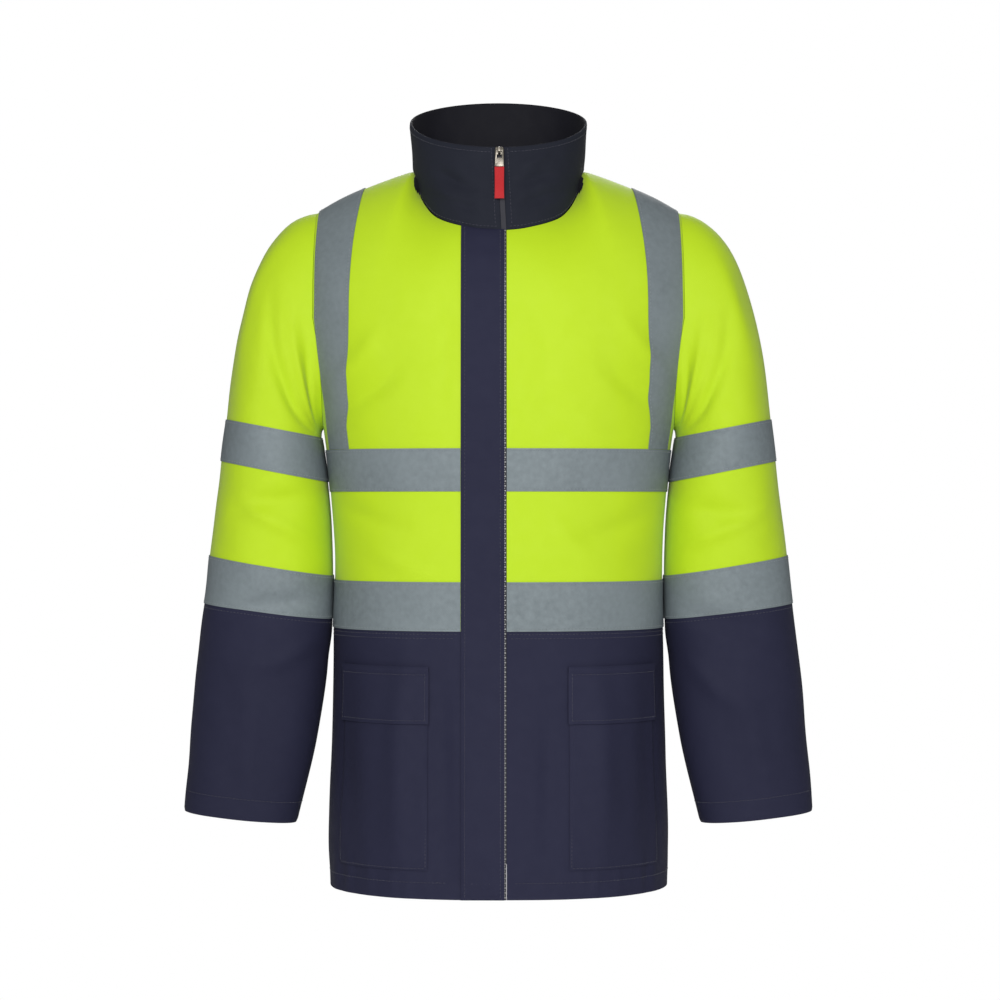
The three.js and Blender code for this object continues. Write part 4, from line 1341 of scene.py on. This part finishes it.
@dataclass
class Pockets:
    """Patch pockets with flaps on the skirt."""

    finishes: Wardrobe
    columns: tuple[float, float] = (3, 7)
    top_z: float = -536 * MM
    flap_bottom_z: float = -598 * MM
    bottom_z: float = -757 * MM
    bulge: float = 3.6 * MM

    def build(self, thread: ThreadWork) -> None:
        """Make both pouches and flaps and sew them."""
        levels = [TORSO.level_of(z) for z in (self.top_z, self.flap_bottom_z, self.bottom_z)]
        for side in Side:
            pouch = torso_patch(Face.FRONT, side, self.columns, (levels[0], levels[2]), 3 * MM)
            share_u = pouch.flat[..., 0] / pouch.flat[-1:, :, 0]
            share_v = pouch.flat[..., 1] / pouch.flat[:, -1:, 1]
            swell = self.bulge * np.sqrt(np.sin(np.pi * share_u).clip(0)) * np.sin(np.pi * share_v ** 0.8).clip(0)
            low, high = rolled(pouch, 0.4 * MM, 2.0 * MM, 2.0 * MM)
            obj = cloth_shell(f"pocket_{side.label}_cloth", pouch, low + swell, high + swell,
                              [self.finishes.navy])
            place(obj, (f"pocket_{side.label}",))
            declare(pouch)
            thread.edges(pouch, 2.0 * MM, 2.4 * MM, ("start", "end", "bottom"))
            self.flap(side, levels, thread)

    def flap(self, side: Side, levels: list[float], thread: ThreadWork) -> None:
        """Make one flap with its raised top welt."""
        wide = (self.columns[0] - 0.05, self.columns[1] + 0.05)
        patch = torso_patch(Face.FRONT, side, wide, (levels[0] - 1 * MM, levels[1]), 2.6 * MM)
        share = patch.flat[..., 1] / patch.flat[:, -1:, 1]
        across = patch.flat[..., 0] / patch.flat[-1:, :, 0]
        lift = 2.3 * MM + 2.2 * MM * np.sqrt(np.sin(np.pi * across).clip(0)) * np.sin(np.pi * share * 0.6)
        lift = lift + 1.2 * MM * share ** 2
        welt = 1.3 * MM * np.exp(-((patch.flat[..., 1] - 4 * MM) / (2.6 * MM)) ** 2)
        low, high = rolled(patch, 0.0, 1.9 * MM, 2.0 * MM)
        obj = cloth_shell(f"flap_{side.label}_cloth", patch, low + lift, high + lift + welt,
                          [self.finishes.navy])
        place(obj, (f"flap_{side.label}",))
        declare(patch)
        raised = Patch(patch.lifted(lift), patch.normals, patch.flat)
        thread.edges(raised, 1.9 * MM, 4.0 * MM, ("start", "end", "bottom"))
        thread.edges(raised, 2.1 * MM, 9.0 * MM, ("top",))


@dataclass
class Zip:
    """Closed zip chain with its woven tapes, slider and pull tab."""

    finishes: Wardrobe
    half: float = 2.7 * MM
    wall: float = 1.4 * MM
    hem_z: float = -788 * MM
    tooth_pitch: float = 2.6 * MM
    tooth_size: tuple[float, float, float] = (3.6 * MM, 1.6 * MM, 1.3 * MM)

    def line(self) -> tuple[Array, Array]:
        """Middle line of the chain from the collar's top to the hem, with its normals."""
        up = np.linspace(1, 0, 60)
        collar = COLLAR.point(np.zeros_like(up), up)
        collar[:, 0] = COLLAR.zip_x[0] + (COLLAR.zip_x[1] - COLLAR.zip_x[0]) * up
        down = np.linspace(0.01, TORSO.level_of(self.hem_z), 260)
        body = TORSO.point(Face.FRONT, np.zeros_like(down), down)
        body[:, 0] = COLLAR.zip_x[0]
        points = np.concatenate([collar, body])
        slope = np.gradient(points, axis=0)
        normals = np.cross(slope, np.array([1.0, 0, 0]))
        normals /= np.linalg.norm(normals, axis=1, keepdims=True)
        normals *= np.where(normals[:, 1:2] > 0, -1, 1)
        return points, normals

    def tooth(self) -> tuple[Array, list]:
        """Model one tooth: a block with bevelled edges."""
        bpy.ops.object.select_all(action="DESELECT")
        bpy.ops.mesh.primitive_cube_add(size=1.0)
        obj = bpy.context.active_object
        bpy.ops.object.mode_set(mode="EDIT")
        bpy.ops.mesh.select_all(action="SELECT")
        bpy.ops.transform.resize(value=self.tooth_size)
        bpy.ops.mesh.bevel(offset=0.3 * MM, segments=1)
        bpy.ops.object.mode_set(mode="OBJECT")
        corners = np.array([vertex.co[:] for vertex in obj.data.vertices])
        faces = [tuple(face.vertices) for face in obj.data.polygons]
        bpy.data.objects.remove(obj)
        return corners, faces

    def build_chain(self) -> None:
        """Make the woven tapes and the row of teeth."""
        points, normals = self.line()
        shifts = np.array([-1.0, -0.5, 0.0, 0.5, 1.0]) * self.half
        grid = points[None] + shifts[:, None, None] * np.array([1.0, 0, 0])
        patch = Patch(grid, np.repeat(normals[None], 5, axis=0), flat_map(grid))
        obj = cloth_shell("zip_tape_cloth", patch, -self.wall, -0.5 * MM, [self.finishes.zip_tape])
        place(obj, ("zip",))
        gaps = np.linalg.norm(np.diff(points, axis=0), axis=1)
        travel = np.concatenate([[0], np.cumsum(gaps)])
        centres = np.arange(travel[60], travel[-1] - 2 * MM, self.tooth_pitch)
        corners, faces = self.tooth()
        vertices, polygons = [], []
        for number, distance in enumerate(centres):
            middle, normal, ahead = (np.array([np.interp(distance + step, travel, grid_[:, i])
                                               for i in range(3)])
                                     for step, grid_ in ((0, points), (0, normals), (0.5 * MM, points)))
            tangent = ahead - middle
            tangent /= np.linalg.norm(tangent)
            across = np.cross(tangent, normal)
            side = 0.5 * MM if number % 2 else -0.5 * MM
            basis = np.stack([across, tangent, normal])
            placed = (corners + np.array([side, 0, -0.2 * MM])) @ basis + middle
            base = number * len(corners)
            vertices.append(placed)
            polygons += [tuple(base + index for index in face) for face in faces]
        stack = np.concatenate(vertices)
        teeth = new_object("zip_teeth", stack, polygons, [self.finishes.teeth], uvs=stack[:, [0, 2]])
        shade_by_angle(teeth, 30)
        place(teeth)

    def soften(self, node: str, body: str, bevel: float) -> None:
        """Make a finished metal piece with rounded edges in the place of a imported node."""
        source = bpy.data.objects[node]
        mesh = source.data.copy()
        obj = bpy.data.objects.new(f"{node}_metal", mesh)
        bpy.context.scene.collection.objects.link(obj)
        select_only(obj)
        bpy.ops.object.mode_set(mode="EDIT")
        bpy.ops.mesh.select_all(action="SELECT")
        bpy.ops.mesh.remove_doubles(threshold=0.01 * MM)
        bpy.ops.mesh.dissolve_limited(angle_limit=math.radians(2))
        bpy.ops.object.mode_set(mode="OBJECT")
        modifier = obj.modifiers.new("edge", "BEVEL")
        modifier.width = bevel
        modifier.segments = 3
        modifier.limit_method = "ANGLE"
        bpy.ops.object.modifier_apply(modifier="edge")
        mesh.materials.clear()
        mesh.materials.append(self.finishes.metal)
        shade_by_angle(obj, 35)
        place(obj, (node,), body)

    def build_ribbon(self) -> None:
        """Make the red ribbon as one thick strip with rolled edges, hanging from the link."""
        low, high = (np.array(corner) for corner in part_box("pull_ribbon"))
        centre_x = (low[0] + high[0]) / 2
        half = (high[0] - low[0]) / 2
        top = np.array([centre_x, high[1] - 0.6 * MM, high[2]])
        bottom = np.array([centre_x, low[1] + 0.6 * MM, low[2]])
        across = np.linspace(-1, 1, 9)
        along = np.linspace(0, 1, 36)
        a, t = np.meshgrid(across, along, indexing="ij")
        points = top + (bottom - top) * t[..., None]
        points[..., 0] += a * half * (1 - 0.04 * np.sin(np.pi * t))
        wave = 0.5 * MM * np.sin(2.2 * math.pi * t) * t + 0.3 * MM * a * np.sin(math.pi * t)
        points[..., 1] += wave
        normal = np.cross(np.array([1.0, 0, 0]), top - bottom)
        normal /= np.linalg.norm(normal)
        if normal[1] > 0:
            normal = -normal
        patch = Patch(points, np.broadcast_to(normal, points.shape), flat_map(points))
        low_face, high_face = rolled(patch, -0.6 * MM, 0.6 * MM, 0.8 * MM)
        obj = cloth_shell("pull_ribbon_cloth", patch, low_face, high_face, [self.finishes.ribbon])
        place(obj, ("pull_ribbon",), PULL_BODY)
        declare(patch)

    def build(self) -> None:
        """Make the whole zip."""
        self.build_chain()
        self.soften("zip_slider", BODY, 0.45 * MM)
        self.soften("slider_bail", BODY, 0.3 * MM)
        self.soften("pull_link", PULL_BODY, 0.35 * MM)
        self.build_ribbon()


@dataclass
class BodyStitching:
    """Rows of stitches on the fronts, back and skirt that aren't on tape."""

    hem_z: float = -788 * MM
    waist_z: float = -497 * MM
    hem_margin: float = 18 * MM

    def build(self, navy: ThreadWork, yellow: ThreadWork) -> None:
        """Sew the hem, the seam under the waist tape and the shoulder seams."""
        waist, hem = TORSO.level_of(self.waist_z), TORSO.level_of(self.hem_z)
        for side in Side:
            edge = -41 * MM if side is Side.RIGHT else 9.0 * MM
            first = 2.0 if side is Side.RIGHT else 0
            skirt = torso_patch(Face.FRONT, side, (first, 9.995), (waist, hem), start_x=None if first else edge)
            navy.edges(skirt, 0.05 * MM, self.hem_margin, ("bottom",))
            navy.edges(skirt, 0.05 * MM, 3.0 * MM, ("top",))
            navy.edges(skirt, 0.05 * MM, 7.5 * MM, ("top",))
        back = whole_back((waist, hem))
        navy.edges(back, 0.05 * MM, self.hem_margin, ("bottom",))
        navy.edges(back, 0.05 * MM, 3.0 * MM, ("top",))
        navy.edges(back, 0.05 * MM, 7.5 * MM, ("top",))
        for face in Face:
            for side in Side:
                shoulder = torso_patch(face, side, (5, 6), (0.004, 0.4), 3 * MM)
                yellow.edges(shoulder, 0.05 * MM, 4 * MM, ("top",))


# ------------------------------------------------------------------ studio
@dataclass
class Studio:
    """Pale floor, soft lights and the camera."""

    distance: float = 2.8
    eye_x: float = 1.7 * MM
    eye_z: float = -353.4 * MM
    lens: float = 88.4
    sensor: float = 36.0
    floor_z: float = -1.45
    ambient: float = 0.26

    def light(self, name: str, where: tuple[float, float, float], size: float, power: float) -> None:
        """Add a soft square light that faces the jacket."""
        data = bpy.data.lights.new(name, "AREA")
        data.shape = "SQUARE"
        data.size = size
        data.energy = power
        obj = bpy.data.objects.new(name, data)
        bpy.context.scene.collection.objects.link(obj)
        obj.location = where
        aim = Vector((0, 0, -0.35)) - Vector(where)
        obj.rotation_euler = aim.to_track_quat("-Z", "Y").to_euler()

    def build(self) -> None:
        """Make the floor, world, lights and camera."""
        scene = bpy.context.scene
        scene.view_settings.view_transform = "Standard"
        world = bpy.data.worlds.new("studio")
        world.use_nodes = True
        tree = world.node_tree
        background = tree.nodes["Background"]
        background.inputs["Color"].default_value = (1.0, 1.0, 1.0, 1.0)
        seen = tree.nodes.new("ShaderNodeLightPath")
        level = tree.nodes.new("ShaderNodeMapRange")
        level.inputs["To Min"].default_value = self.ambient
        level.inputs["To Max"].default_value = 1.0
        tree.links.new(seen.outputs["Is Camera Ray"], level.inputs["Value"])
        tree.links.new(level.outputs["Result"], background.inputs["Strength"])
        scene.world = world
        bpy.ops.object.select_all(action="DESELECT")
        bpy.ops.mesh.primitive_plane_add(size=3.0, location=(0, 0, self.floor_z))
        floor = bpy.context.active_object
        floor.name = "floor"
        nodes = Nodes("pale_floor")
        nodes.shader.inputs["Base Color"].default_value = (0.86, 0.86, 0.85, 1.0)
        nodes.shader.inputs["Roughness"].default_value = 0.7
        floor.data.materials.append(nodes.material)
        self.light("key", (-0.45, -2.9, 0.5), 1.5, 52.0)
        self.light("fill", (0.6, -2.9, 0.0), 1.5, 36.0)
        self.light("back", (0.2, 2.6, 1.2), 1.6, 45.0)
        data = bpy.data.cameras.new("camera")
        data.lens = self.lens
        data.sensor_width = self.sensor
        camera = bpy.data.objects.new("camera", data)
        scene.collection.objects.link(camera)
        camera.location = (self.eye_x, -self.distance, self.eye_z)
        camera.rotation_euler = (math.pi / 2, 0, 0)
        scene.camera = camera


def main() -> None:
    """Build the studio and every part of the jacket."""
    logging.basicConfig(level=logging.INFO, format="%(message)s", stream=sys.stdout)
    Studio().build()
    finishes = Wardrobe()
    tape_thread, navy_thread, yellow_thread = ThreadWork(), ThreadWork(), ThreadWork()
    Body(finishes).build()
    Sleeves(finishes).build(tape_thread, navy_thread)
    BodyTapes(finishes).build(tape_thread)
    Collar(finishes).build(navy_thread)
    StormFlap(finishes).build(navy_thread)
    Pockets(finishes).build(navy_thread)
    Zip(finishes).build()
    BodyStitching().build(navy_thread, yellow_thread)
    tape_thread.build("tape_stitches", finishes.grey_thread, "reflective_tape")
    navy_thread.build("navy_stitches", finishes.navy_thread, "navy_cloth")
    yellow_thread.build("yellow_stitches", finishes.yellow_thread, "yellow_cloth")


if __name__ == "__main__":
    main()
